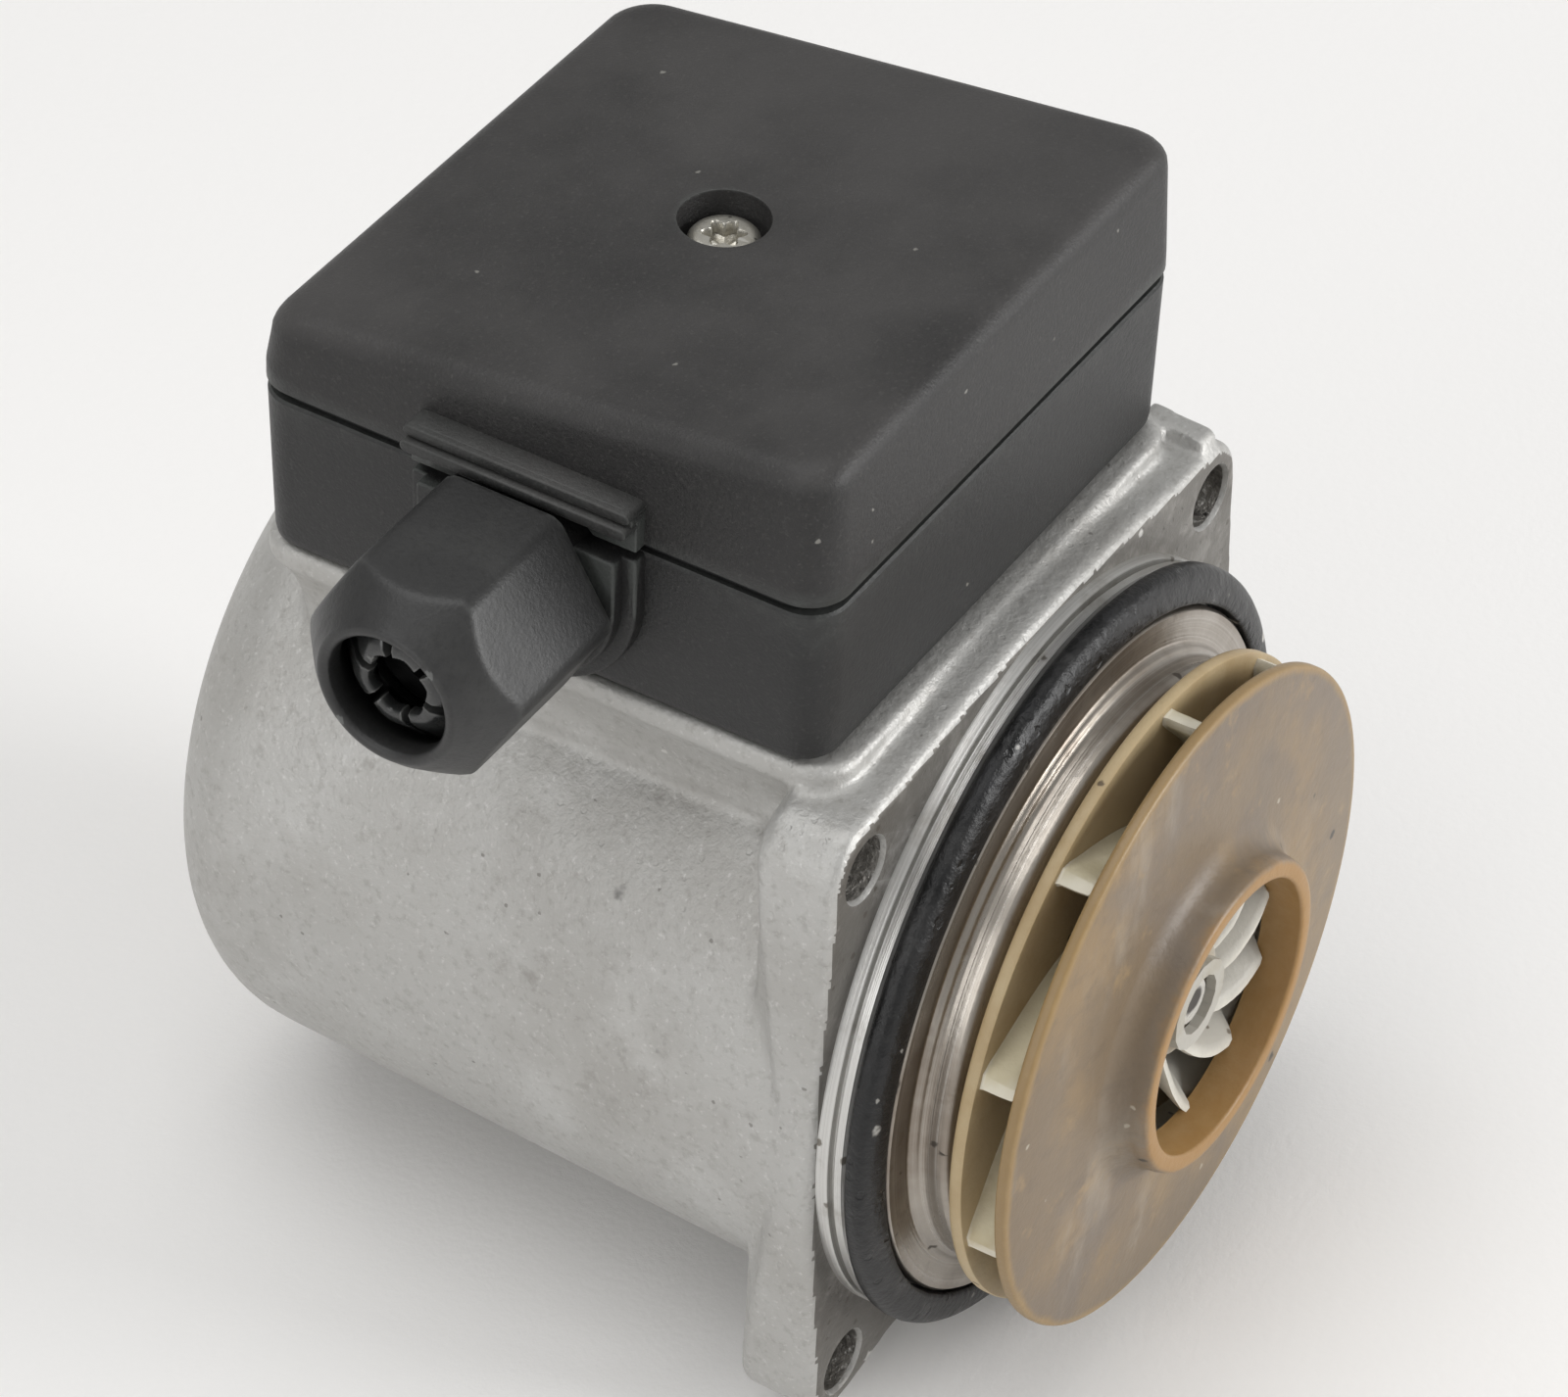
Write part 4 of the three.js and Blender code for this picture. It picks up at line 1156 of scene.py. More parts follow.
@dataclass
class Housing:
    """The cast motor housing: can, bowed flange with four ears, raised pad, rib and register ring."""

    half: float = 41.6
    lobe: float = 5.7
    depth: float = 9.2
    middle_depth: float = 4.2
    chamfer: float = 0.9
    ear: float = 33.5
    hole: float = 3.4
    can_front: float = 41.4
    can_rear: float = 39.4
    can_end: float = 82.0
    can_edge: float = 12.0
    bore: float = 34.4
    cavity: float = 37.0
    rear_wall: float = 76.5
    pad_half: float = 32.9
    pad_neck: float = 29.0
    pad_top: float = 41.9
    pad_from: float = 4.0
    pad_to: float = 71.0
    lug_x: float = 34.2
    lug_wide: float = 3.0
    lug_top: float = 40.5
    vent_hole: float = 5.3
    ring_outer: float = 40.6
    bow: tuple[Flat, ...] = ((5, 0.1), (11, 0.4), (16, 0.8), (21, 1.3), (27, 1.9))
    hollow: tuple[Flat, ...] = (
        (30, 38.9), (27, 38.2), (24, 37.7), (21, 37.8), (17, 38.6), (12, 39.9), (8, 40.8), (4, 41.4))
    voxel: float = 0.5

    def side(self, inset: float, sx: int, sz: int, upright: bool) -> Outline:
        """Half of a bowed side, from its middle towards an ear.

        Args:
            inset: how far the outline is drawn in.
            sx: which side of the shaft in X.
            sz: which side of the shaft in Z.
            upright: whether the side runs along Z.

        Returns:
            Its points.
        """
        if not upright and sz < 0:
            return [(sx * x, -z + inset) for x, z in reversed(self.hollow)]
        reach = self.half - inset
        points = [(d, reach - drawn) for d, drawn in self.bow]
        return [(sx * w, sz * d) if upright else (sx * d, sz * w) for d, w in points]

    def outline(self, inset: float) -> Outline:
        """The flange's outline: bowed sides, an ear at each corner, hollows beside the lower ears.

        Args:
            inset: how far it is drawn in.

        Returns:
            Its points.
        """
        ring, reach, lobe = [], self.half - inset, self.lobe - inset
        for sx, sz, start in ((1, 1, 0), (-1, 1, 90), (-1, -1, 180), (1, -1, 270)):
            first_upright = start in (0, 180)
            ring.append((sx * reach, 0) if first_upright else (0, sz * reach))
            ring += self.side(inset, sx, sz, first_upright)
            ring += arc((sx * self.ear, sz * self.ear), lobe, start + 5, start + 85, 12)
            ring += reversed(self.side(inset, sx, sz, not first_upright))
        return ring

    def flange(self) -> Skin:
        """The flange, thin where its sides meet the can and deeper at the ears, with chamfered edges.

        Returns:
            The flange's skin.
        """
        def ring(inset: float, back: float) -> list[Point]:
            """One outline of the flange, so far behind its face or, for the back, as far as its depth."""
            points = []
            for x, z in self.outline(inset):
                ear = min(1.0, min(abs(x), abs(z)) / (self.ear - 3)) ** 1.2
                deep = self.middle_depth + (self.depth - self.middle_depth) * ear
                points.append((x, back if back >= 0 else deep + back + 1, z))
            return points

        c = self.chamfer
        return Skin().loft([ring(c, 0), ring(c * 0.4, c * 0.35), ring(0, c), ring(0, -c - 1), ring(c, -1)])

    def can(self) -> Skin:
        """The can with its rounded rear edge.

        Returns:
            The can's skin.
        """
        middle = (self.can_rear - self.can_edge, self.can_end - self.can_edge)
        edge = arc(middle, self.can_edge, 0, 90, 10)
        front = [(0, 1), (self.can_front - 2, 1), (self.can_front, self.middle_depth - 0.8)]
        return Skin().turn([*front, (self.can_front, 9), *edge, (0, self.can_end)], segments=160)

    def pad(self) -> Skin:
        """The raised pad under the terminal box: a flared neck under an upright lip.

        Returns:
            The pad's skin.
        """
        y_mid, y_half = (self.pad_from + self.pad_to) / 2, (self.pad_to - self.pad_from) / 2

        def ring(hx: float, inset: float, z: float) -> list[Point]:
            """One outline of the pad."""
            return [(x, y, z) for x, y in square_ring(hx, y_half - inset, 4.5, (0, y_mid))]

        top, half, neck = self.pad_top, self.pad_half, self.pad_neck
        rings = [ring(neck - 1, 1.5, top - 18), ring(neck + 0.2, 1.5, top - 11.5)]
        for i in range(1, 6):
            t = i / 6
            rings.append(ring(neck + 0.2 + (half - neck - 1) * t ** 1.8, 1.5 - 0.9 * t, top - 11.5 + 8 * t))
        rings += [ring(half - 0.8, 0.6, top - 3.4), ring(half, 0, top - 2.6), ring(half, 0, top - 0.5),
                  ring(half - 0.5, 0.5, top)]
        return Skin().loft(rings)

    def lug(self) -> Skin:
        """The small rib that stands on the upper ear.

        Returns:
            The rib's skin.
        """
        x0, x1 = self.lug_x - self.lug_wide / 2, self.lug_x + self.lug_wide / 2
        top = self.lug_top
        outline = [(0.9, 36), (8.4, 36), (8.4, top + 0.4), (8.0, top + 0.6), (1.5, top), (0.9, top - 0.5)]
        return Skin().prism(outline, x0, x1)

    def webs(self) -> Skin:
        """Soft webs that carry the can's side into the back of each ear.

        Returns:
            The four webs as one skin.
        """
        skin, at = Skin(), self.ear * 0.84
        profile = [(0, 3), (5.6, 3), (5.4, 8.6), (4.4, 11.6), (0, 15.0)]
        for sx in (-1, 1):
            for sz in (-1, 1):
                skin.join(Skin().turn(profile, Along.SHAFT, (sx * at, 0, sz * at), 32))
        return skin

    def register(self) -> Skin:
        """The turned ring that centres the housing in the volute, with its groove.

        Returns:
            The ring's skin.
        """
        front = [(self.bore, 0.8), (self.bore, -2.7), (self.bore + 0.3, -3.0), (40.1, -3.0), (40.4, -2.7)]
        groove = [(40.4, -1.95), (39.7, -1.9), (39.7, -1.3), (40.5, -1.25)]
        back = [(self.ring_outer, -1.1), (self.ring_outer, 0.8)]
        return Skin().turn(front + groove + back, segments=192)

    def cutter(self) -> Skin:
        """Everything that is bored or cut out of the casting, as one skin.

        Returns:
            The cutter's skin.
        """
        past_end = self.can_end + 1
        tool = Skin().turn([
            (0, -1), (self.bore, -1), (self.bore, 4), (self.cavity, 6),
            (self.cavity, self.can_end - self.can_edge), (self.cavity - 8, self.rear_wall),
            (self.vent_hole, self.rear_wall), (self.vent_hole, past_end), (0, past_end),
        ])
        tool.join(FLOOR_WAYS.lead_way(36, 60))
        for side in (-1, 1):
            tool.join(FLOOR_WAYS.fixing_way(side, 33, 60))
        for sx in (-1, 1):
            for sz in (-1, 1):
                profile = [(0, -1), (self.hole + 0.9, -1), (self.hole, 0.5), (self.hole, 16), (0, 16)]
                tool.join(Skin().turn(profile, Along.SHAFT, (sx * self.ear, 0, sz * self.ear), 40))
        return tool

    def build(self, shop: PaintShop) -> None:
        """Casts, bores and paints the housing.

        Args:
            shop: where the finishes come from.
        """
        blank = self.can().join(self.flange()).join(self.pad()).join(self.lug()).join(self.webs())
        obj = blank.build("stator_housing_casting")
        cast(obj, self.voxel, 5, 0.3)
        carve(obj, self.cutter().build("housing_cutter"))
        ring = self.register().build("register_ring")
        shop.dress(obj, CAST_ALUMINIUM, TURNED_ALUMINIUM, FLANGE_FACE, BORED_ALUMINIUM_SHADE)
        tidy_mesh(obj, 0.0, 38.0)
        self.assign(obj)
        place(obj, Body.MOTOR, "stator_housing", "stator_housing")
        shop.fit(ring, TURNED_ALUMINIUM, Body.MOTOR, "stator_housing")

    def in_hole(self, at: Vector) -> bool:
        """Whether a point of the casting lies on the wall of an ear's hole."""
        return math.hypot(abs(at.x) - self.ear, abs(at.z) - self.ear) < self.hole + 0.15

    def assign(self, obj: bpy.types.Object) -> None:
        """Gives the bored surfaces and the flange's front face their own finishes; the ear holes' walls get a
        darker finish that is partly painted shade.

        Args:
            obj: the finished casting, whose slots hold the four finishes.
        """
        for face in obj.data.polygons:
            c = (face.center - DATUM) / MM
            radius = math.hypot(c.x, c.z)
            if c.y < 0.12 and face.normal.y < -0.9:
                face.material_index = 2
            # ear-hole walls: the darker bored finish there is partly painted shade
            elif c.y < self.depth + 0.6 and self.in_hole(c) and abs(face.normal.y) < 0.5:
                face.material_index = 3
            elif radius < self.bore + 0.2 and c.y < 5:
                face.material_index = 1


# ---- terminal box ----
@dataclass
class BoxShape:
    """Sizes that the box's base and lid share."""

    half_x: float = 33.5
    y_from: float = 5.5
    y_to: float = 70.1
    bottom: float = 42.25
    part: float = 61.4
    gap: float = 0.9
    wall: float = 2.2
    corner: float = 4.3
    deck_front: float = 76.9
    deck_rear: float = 69.4

    @property
    def mid(self) -> float:
        """The box's middle along Y."""
        return (self.y_from + self.y_to) / 2

    def ring(self, inset: float, corner: float = 0.0) -> Outline:
        """The box's outline drawn in by an inset."""
        r = max(corner or self.corner - min(inset, 3.0), 0.8)
        return square_ring(self.half_x - inset, (self.y_to - self.y_from) / 2 - inset, r, (0, self.mid))

    def flat(self, inset: float, z: float) -> list[Point]:
        """The outline at one height."""
        return [(x, y, z) for x, y in self.ring(inset)]

    def deck(self, y: float) -> float:
        """Height of the lid's sloping top."""
        fall = self.deck_rear - self.deck_front
        return self.deck_front + fall * (y - self.y_from) / (self.y_to - self.y_from)


@dataclass
class Gland:
    """Sizes that the cable gland's parts share."""

    y: float = 37.8
    z: float = 54.3
    nut_back: float = 37.6
    nut_long: float = 20.2
    flats: float = 21.0
    collar: float = 12.6

    @property
    def centre(self) -> Point:
        """A point on the gland's axis, from which distances run outwards."""
        return (0, self.y, self.z)


def collar_outline(gland: Gland, half: float, low: float, high: float) -> Outline:
    """A U-shaped outline in (y, z), open upwards.

    Args:
        gland: the gland's sizes.
        half: half the U's width.
        low: the lowest height, where the U's foot is cut off.
        high: the height of its top.

    Returns:
        The outline's points in order.
    """
    points = [(gland.y - half, high)]
    for i in range(33):
        a = math.pi + math.pi * i / 32
        points.append((gland.y + half * math.cos(a), max(gland.z + half * math.sin(a), low)))
    points.append((gland.y + half, high))
    return points


@dataclass
class BoxBase:
    """The terminal box's base, with the cable collar and the gland's threaded snout."""

    box: BoxShape = field(default_factory=BoxShape)
    gland: Gland = field(default_factory=Gland)
    step: float = 1.5
    outer_reach: float = 1.4
    inner_reach: float = 2.9
    snout: float = 9.0
    snout_end: float = 49.0
    pitch: float = 1.5

    def shell(self) -> Skin:
        """The open-topped box as one closed skin.

        Returns:
            The box's skin.
        """
        b, top = self.box, self.box.part - self.box.gap
        foot = ((1.8, b.bottom), (1.0, b.bottom + 0.15), (0.55, b.bottom + 0.6), (0.4, b.bottom + 1.4))
        side = ((0.25, 52), (0.1, top - 0.3), (0.35, top), (b.wall - 0.1, top), (b.wall + 0.1, top - 0.3))
        inside = ((b.wall + 0.4, b.bottom + 3.4), (b.wall + 1.3, b.bottom + 2.4))
        return Skin().loft([b.flat(inset, z) for inset, z in (*foot, *side, *inside)])

    def collars(self) -> Skin:
        """The double-ridged collar round the gland.

        Returns:
            The collar's skin.
        """
        top, low, wall = self.box.part - self.box.gap - 0.05, self.box.bottom + 0.05, self.box.half_x
        skin = Skin()
        for drawn, reach in ((0.0, self.outer_reach), (self.step, self.inner_reach)):
            band = collar_outline(self.gland, self.gland.collar - drawn, low, top)
            skin.join(Skin().prism(band, -wall - reach, -wall + 1.5))
        return skin

    def threaded(self) -> Skin:
        """The snout, with a thread cut round it for the nut.

        Returns:
            The snout's skin.
        """
        def thread(r: float, h: float, a: float) -> float:
            """Radius change along the thread."""
            if r < self.snout - 0.1 or h < 37.2 or h > 48.4:
                return 0.0
            return 0.32 * math.sin(2 * math.pi * h / self.pitch - a) - 0.2

        out = [(self.snout, 34 + 0.25 * i) for i in range(58)]
        profile = [(5.8, 29.5), (self.snout, 29.5), *out, (self.snout - 0.7, self.snout_end - 0.2),
                   (self.snout - 1, self.snout_end), (7.7, self.snout_end), (7.6, 48.8), (7.6, 42), (5.8, 42)]
        return Skin().turn(profile, Along.GLAND, self.gland.centre, 96, thread)

    def post(self) -> Skin:
        """The post that takes the lid's screw."""
        return Skin().turn([(2.3, 57.25), (2.3, 43.2), (6.4, 43.2), (6.3, 56.8), (5.9, 57.25)], Along.UP,
                           (0, self.box.mid, 0), 56)

    def build(self, shop: PaintShop) -> None:
        """Moulds the base and paints it.

        Args:
            shop: where the finishes come from.
        """
        obj = self.shell().build("terminal_box_base_moulding", angle=50)
        carve(obj, self.collars().build("collar", 0.35, 50, 3), Carving.JOIN)
        carve(obj, rod(5.8, 28, 40, Along.GLAND, self.gland.centre).build("cable_way"))
        carve(obj, FLOOR_WAYS.lead_way(41, 50).build("lead_way"))
        for side in (-1, 1):
            carve(obj, FLOOR_WAYS.fixing_way(side, 41, 50).build("fixing_way"))
        tidy_mesh(obj, 0.0, 38.0)
        shop.fit(obj, BASE_PLASTIC, Body.MOTOR, "terminal_box_base", "terminal_box_base")
        for name, skin in (("gland_snout", self.threaded()), ("lid_screw_post", self.post())):
            shop.fit(skin.build(name, angle=40), BASE_PLASTIC, Body.MOTOR, "terminal_box_base")


@dataclass
class BoxLid:
    """The lid: a pillowed sloping top with a screw recess, and the hood over the gland."""

    box: BoxShape = field(default_factory=BoxShape)
    gland: Gland = field(default_factory=Gland)
    edge: float = 2.7
    recess: float = 4.55
    recess_deep: float = 5.0
    boss: float = 6.4
    screw_hole: float = 2.3
    apron_hole: float = 10.6
    crown: float = 0.35
    hood_low: float = 63.9
    hood_high: float = 66.7
    hood_reach: float = 2.9

    def top(self, inset: float, drop: float, t: float = 0.0) -> list[Point]:
        """An outline on the sloping top.

        Args:
            inset: how far it is drawn in from the box's outline.
            drop: how far it lies under the top.
            t: 0 for the box's outline, 1 for the screw recess's circle.

        Returns:
            The outline's points.
        """
        b = self.box
        flat = mixed(b.ring(inset, max(b.corner, inset * 0.8)), round_ring(self.recess, (0, b.mid)), t)
        out = []
        for x, y in flat:
            u, v = x / b.half_x, (y - b.mid) / (b.y_to - b.mid)
            out.append((x, y, b.deck(y) - drop + self.crown * (1 - u * u) * (1 - v * v)))
        return out

    def circle(self, r: float, z: float) -> list[Point]:
        """A circle about the screw at one height."""
        return [(x, y, z) for x, y in round_ring(r, (0, self.box.mid))]

    def shell(self) -> Skin:
        """The lid as one closed skin, from its rim over the top, into the recess and back under.

        Returns:
            The lid's skin.
        """
        b, e = self.box, self.edge
        deck = b.deck(b.mid) + self.crown
        rings = [b.flat(inset, b.part + up) for inset, up in ((0.3, 0.0), (0.0, 0.3), (0.05, 2.2))]
        rings.append(self.top(0.42, e + 0.4))
        for i in range(1, 8):
            a = math.radians(90 * i / 7)
            rings.append(self.top(0.45 + e * (1 - math.cos(a)), e * (1 - math.sin(a)) + 0.12 * (1 - i / 7)))
        rings += [self.top(8, 0.02)] + [self.top(14, 0, t) for t in (0.0, 0.3, 0.6, 0.88)]
        hole, low, floor = self.screw_hole, b.part - 0.9, deck - self.recess_deep
        recess = (
            (self.recess + 0.3, deck - 0.01), (self.recess + 0.08, deck - 0.1), (self.recess, deck - 0.35),
            (self.recess, floor + 0.3), (self.recess - 0.3, floor), (hole, floor),
        )
        boss = ((hole, low), (self.boss - 0.3, low), (self.boss, low + 0.3), (self.boss, deck - b.wall - 1.2))
        rings += [self.circle(r, z) for r, z in recess + boss]
        rings += [
            self.top(14, b.wall, 0.8), self.top(14, b.wall, 0.3), self.top(6, b.wall),
            self.top(b.wall + 2.2, b.wall + 0.3), self.top(b.wall + 0.6, e + 0.6),
            b.flat(b.wall, b.part + 1.5), b.flat(b.wall - 0.3, b.part),
        ]
        return Skin().loft(rings, cyclic=True)

    def pill(self, r: float, z: float) -> Outline:
        """A bar with round ends, as wide as the collar.

        Args:
            r: the radius of its ends.
            z: its middle height.

        Returns:
            Its outline in (y, z).
        """
        points = []
        for side, start in ((-1, 90), (1, -90)):
            points += arc((self.gland.y + side * (self.gland.collar - r), z), r, start, start + 180, 12)
        return points

    def hood(self) -> Skin:
        """The double-ridged hood over the gland.

        Returns:
            The hood's skin.
        """
        wall, mid = self.box.half_x, (self.hood_low + self.hood_high) / 2
        r = (self.hood_high - self.hood_low) / 2
        skin = Skin()
        for z, rr, reach in ((mid + 0.75, 0.6, -0.15), (mid - 0.72, 0.62, 0.45)):
            skin.join(Skin().prism(self.pill(rr, z), -wall - self.hood_reach - reach, -wall + 1.0))
        skin.join(Skin().prism(self.pill(r, mid), -wall - self.hood_reach + 0.75, -wall + 1.0))
        return skin

    def apron(self) -> Skin:
        """The plate that closes the gap between the hood and the collar.

        Returns:
            The plate's skin.
        """
        wall, mid, hole = self.box.half_x, (self.hood_low + self.hood_high) / 2, self.apron_hole
        y, half, low = self.gland.y, self.gland.collar, self.box.part + 0.05
        points = [(y - half, low), (y - half, mid), (y + half, mid), (y + half, low)]
        for i in range(13):
            a = math.acos(min(1.0, (low - self.gland.z) / hole)) * (1 - i / 6)
            points.append((y + hole * math.sin(a), self.gland.z + hole * math.cos(a)))
        return Skin().prism(points, -wall - 1.4, -wall + 1.0)

    def build(self, shop: PaintShop) -> None:
        """Moulds the lid and paints it.

        Args:
            shop: where the finishes come from.
        """
        lid = self.shell().build("terminal_box_lid_moulding", angle=50)
        shop.fit(lid, LID_PLASTIC, Body.LID, "terminal_box_lid", "terminal_box_lid")
        hood = self.hood().build("gland_hood", 0.22, 50, 2)
        apron = self.apron().build("gland_hood_apron", 0.2, 50, 2)
        for piece in (hood, apron):
            shop.fit(piece, LID_PLASTIC, Body.LID, "terminal_box_lid")


@dataclass
class LidScrew:
    """The captive screw in the lid, with a six-lobed recess."""

    y: float = 37.8
    deck: float = 71.7
    head: float = 3.65
    thick: float = 2.5
    shank: float = 2.0
    length: float = 22.0

    def build(self, shop: PaintShop) -> None:
        """Turns the screw and plates it.

        Args:
            shop: where the finishes come from.
        """
        def lobes(r: float, h: float, a: float) -> float:
            """The recess's six lobes and the thread on the shank."""
            if h < 1.7 and 1.0 < r < 2.3:
                return 0.36 * math.cos(6 * a)
            if r == self.shank and h > 5:
                return 0.2 * math.sin(2 * math.pi * h / 1.2 - a) - 0.1
            return 0.0

        thread = [(self.shank, 3.0 + 0.2 * i) for i in range(90)]
        recess = [(0, 1.75), (1.2, 1.6), (1.62, 1.45), (1.75, 0.2), (1.95, 0.0)]
        head = [(2.5, 0.0), (2.9, 0.05), (3.3, 0.3), (3.58, 0.65), (self.head, 1.0),
                (self.head, self.thick - 0.2), (3.45, self.thick)]
        tip = [(1.2, self.length), (0, self.length)]
        profile = [*recess, *head, (self.shank, self.thick), *thread, *tip]
        skin = Skin().turn(profile, Along.DOWN, (0, self.y, self.deck), 96, lobes)
        shop.fit(skin.build("lid_screw_turned", angle=40), ZINC, Body.SCREW, "lid_screw", "lid_screw")


# ---- cable gland ----
@dataclass
class GlandNut:
    """The gland's hexagon nut, which runs into a cone nose with curved borders."""

    gland: Gland = field(default_factory=Gland)
    nose: float = 7.9
    mouth: float = 6.5
    bore: float = 9.7
    slope: float = 0.84
    soft: float = 0.28

    def outer(self, h: float, a: float) -> float:
        """Radius of the outside at a distance from the back and an angle.

        Args:
            h: the distance from the nut's back.
            a: the angle round the gland, in radians.

        Returns:
            The radius.
        """
        flat = self.gland.flats / 2
        turn = (a + math.pi / 6) % (math.pi / 3) - math.pi / 6
        hexagon = min(flat / math.cos(math.pi / 6 - abs(turn)), flat / math.cos(math.pi / 6) - 0.35)
        cone = self.nose + 0.5 + (self.gland.nut_long - 0.9 - h) * self.slope
        round_off = math.sqrt((hexagon - cone) ** 2 + self.soft ** 2)
        return (hexagon + cone - round_off) / 2 + self.soft / 2 - 0.1

    def build(self, shop: PaintShop) -> None:
        """Moulds the nut.

        Args:
            shop: where the finishes come from.
        """
        steps, segments, long = 46, 144, self.gland.nut_long
        rings = []

        def ring(radius: Callable[[float], float], h: float) -> list[Point]:
            """One section across the nut."""
            out, along = [], self.gland.nut_back + h
            for i in range(segments):
                a = 2 * math.pi * i / segments
                r = radius(a)
                at = (r * math.cos(a), along, r * math.sin(a))
                out.append(Skin.aim(*at, Along.GLAND, self.gland.centre))
            return out

        rings.append(ring(lambda a: self.outer(0, a) - 0.35, 0))
        for k in range(steps + 1):
            h = 0.35 + (long - 1.3 - 0.35) * k / steps
            rings.append(ring(lambda a, h=h: self.outer(h, a), h))
        for r, h in arc((self.nose - 0.75, long - 0.75), 0.75, 20, 160, 9):
            rings.append(ring(lambda a, r=r: r, h))
        for r, h in ((self.mouth, long - 1.4), (self.mouth, 18.0), (self.bore - 0.6, 14), (self.bore, 12.4),
                     (self.bore, 0.6), (self.bore + 0.4, 0)):
            rings.append(ring(lambda a, r=r: r, h))
        obj = Skin().loft(rings, cyclic=True).build("gland_nut_moulding", angle=55)
        shop.fit(obj, GLAND_PLASTIC, Body.NUT, "gland_nut", "gland_nut")


@dataclass
class ClampCage:
    """The gland's ring of six fingers that bend in on the cable."""

    gland: Gland = field(default_factory=Gland)
    start: float = 11.9
    fingers: int = 6
    slot_degrees: float = 13.0

    def finger(self, index: int) -> Skin:
        """One finger: its section swept through its share of the circle.

        Args:
            index: which finger.

        Returns:
            The finger's skin.
        """
        outer = [(9.2, 0.8), (8.9, 1.6), (7.4, 3.6), (6.1, 4.9), (5.2, 5.8), (4.2, 6.35), (3.4, 6.3)]
        inner = [(3.2, 5.7), (3.3, 4.9), (4.2, 4.4), (5.6, 3.0), (7.2, 1.0)]
        span = math.radians(360 / self.fingers - self.slot_degrees)
        first = 2 * math.pi * index / self.fingers + 0.26 + math.radians(self.slot_degrees / 2)
        rings = []
        for i in range(11):
            a = first + span * i / 10
            pinch = 0.3 * abs(i - 5) / 5
            ring = []
            for r, h in outer + inner:
                rr, along = r - (pinch if r < 7 else 0), self.gland.nut_back + self.start + h
                at = (rr * math.cos(a), along, rr * math.sin(a))
                ring.append(Skin.aim(*at, Along.GLAND, self.gland.centre))
            rings.append(ring)
        return Skin().loft(rings)

    def build(self, shop: PaintShop) -> None:
        """Moulds the cage.

        Args:
            shop: where the finishes come from.
        """
        skin = Skin().turn([(7.2, 0), (9.2, 0), (9.2, 1.0), (7.2, 1.2)], Along.GLAND,
                           (-self.gland.nut_back - self.start, self.gland.y, self.gland.z), 96)
        for k in range(self.fingers):
            skin.join(self.finger(k))
        obj = skin.build("gland_clamp_cage_moulding", 0.18, 40, 2)
        shop.fit(obj, CAGE_PLASTIC, Body.CLAMP, "gland_clamp_cage", "gland_clamp_cage")


# ---- wet end ----
@dataclass
class WetEnd:
    """The parts on the motor's face: the sealing ring and the bearing plate."""

    seal_outer: float = 41.1
    seal_inner: float = 37.4

    def seal(self) -> Skin:
        """The worn rubber ring, a little uneven round its edge.

        Returns:
            The ring's skin.
        """
        def uneven(r: float, h: float, a: float) -> float:
            """Small dents and swellings."""
            coarse = Vector((math.cos(a) * 3.1, math.sin(a) * 3.1, h * 0.4 + r * 0.2))
            fine = Vector((math.cos(a) * 17, math.sin(a) * 17, h * 1.4 + r))
            return 0.09 * noise.noise(coarse) + 0.045 * noise.noise(fine)

        back = [(self.seal_inner, -3.3), (40.7, -3.3), (41.0, -3.5), (self.seal_outer, -3.9)]
        front = [(self.seal_outer, -4.6), (40.95, -5.0), (40.6, -5.4), (40.0, -5.75), (39.3, -5.98),
                 (38.5, -6.12), (37.8, -6.15), (37.5, -6.0), (self.seal_inner, -5.7)]
        profile = back + front
        return Skin().turn(profile, segments=220, wobble=uneven)

    def plate_skin(self) -> Skin:
        """The drawn plate: flat rim, step, raised boss with a rolled edge, and the hub.

        Returns:
            The plate's skin.
        """
        profile = [(36.7, -4.2), (37.05, -4.55), (37.05, -5.6), (36.75, -6.0), (33.7, -6.0)]
        profile += [(33.35, -6.15), (33.2, -6.45), (33.05, -6.7), (32.85, -6.85)]
        profile += [(32.6, -7.05), (32.42, -7.5), (32.4, -7.9), *arc((31.0, -9.0), 1.4, 0, -90, 7)]
        profile += [(29.6, -10.45), (20, -10.4), (9.0, -10.4), (8.3, -10.2)]
        profile += [(5.4, -10.1), (5.1, -9.8), (5.1, -8.8), (8.3, -8.6), (8.3, 14), (9.6, 14), (9.6, -9.0)]
        profile += [*arc((30.6, -8.6), 0.8, -90, 0, 4), (31.2, -4.6), (31.6, -4.2)]
        return Skin().turn(profile, segments=192)

    def build(self, shop: PaintShop) -> None:
        """Makes and paints both parts.

        Args:
            shop: where the finishes come from.
        """
        seal = self.seal().build("housing_seal_ring_rubber", angle=60)
        shop.fit(seal, WORN_RUBBER, Body.MOTOR, "housing_seal_ring", "housing_seal_ring")
        plate = self.plate_skin().build("bearing_plate_pressing", angle=50)
        shop.fit(plate, STAINLESS, Body.MOTOR, "bearing_plate", "bearing_plate")


VANE_FOOT = -12.8  # where the vanes stand, along the shaft
VANE_SIDE = ((1.25, 0.0), (1, 0.15), (1, 0.6), (0.9, 0.93), (0.5, 1.0))  # share of half thickness, of depth


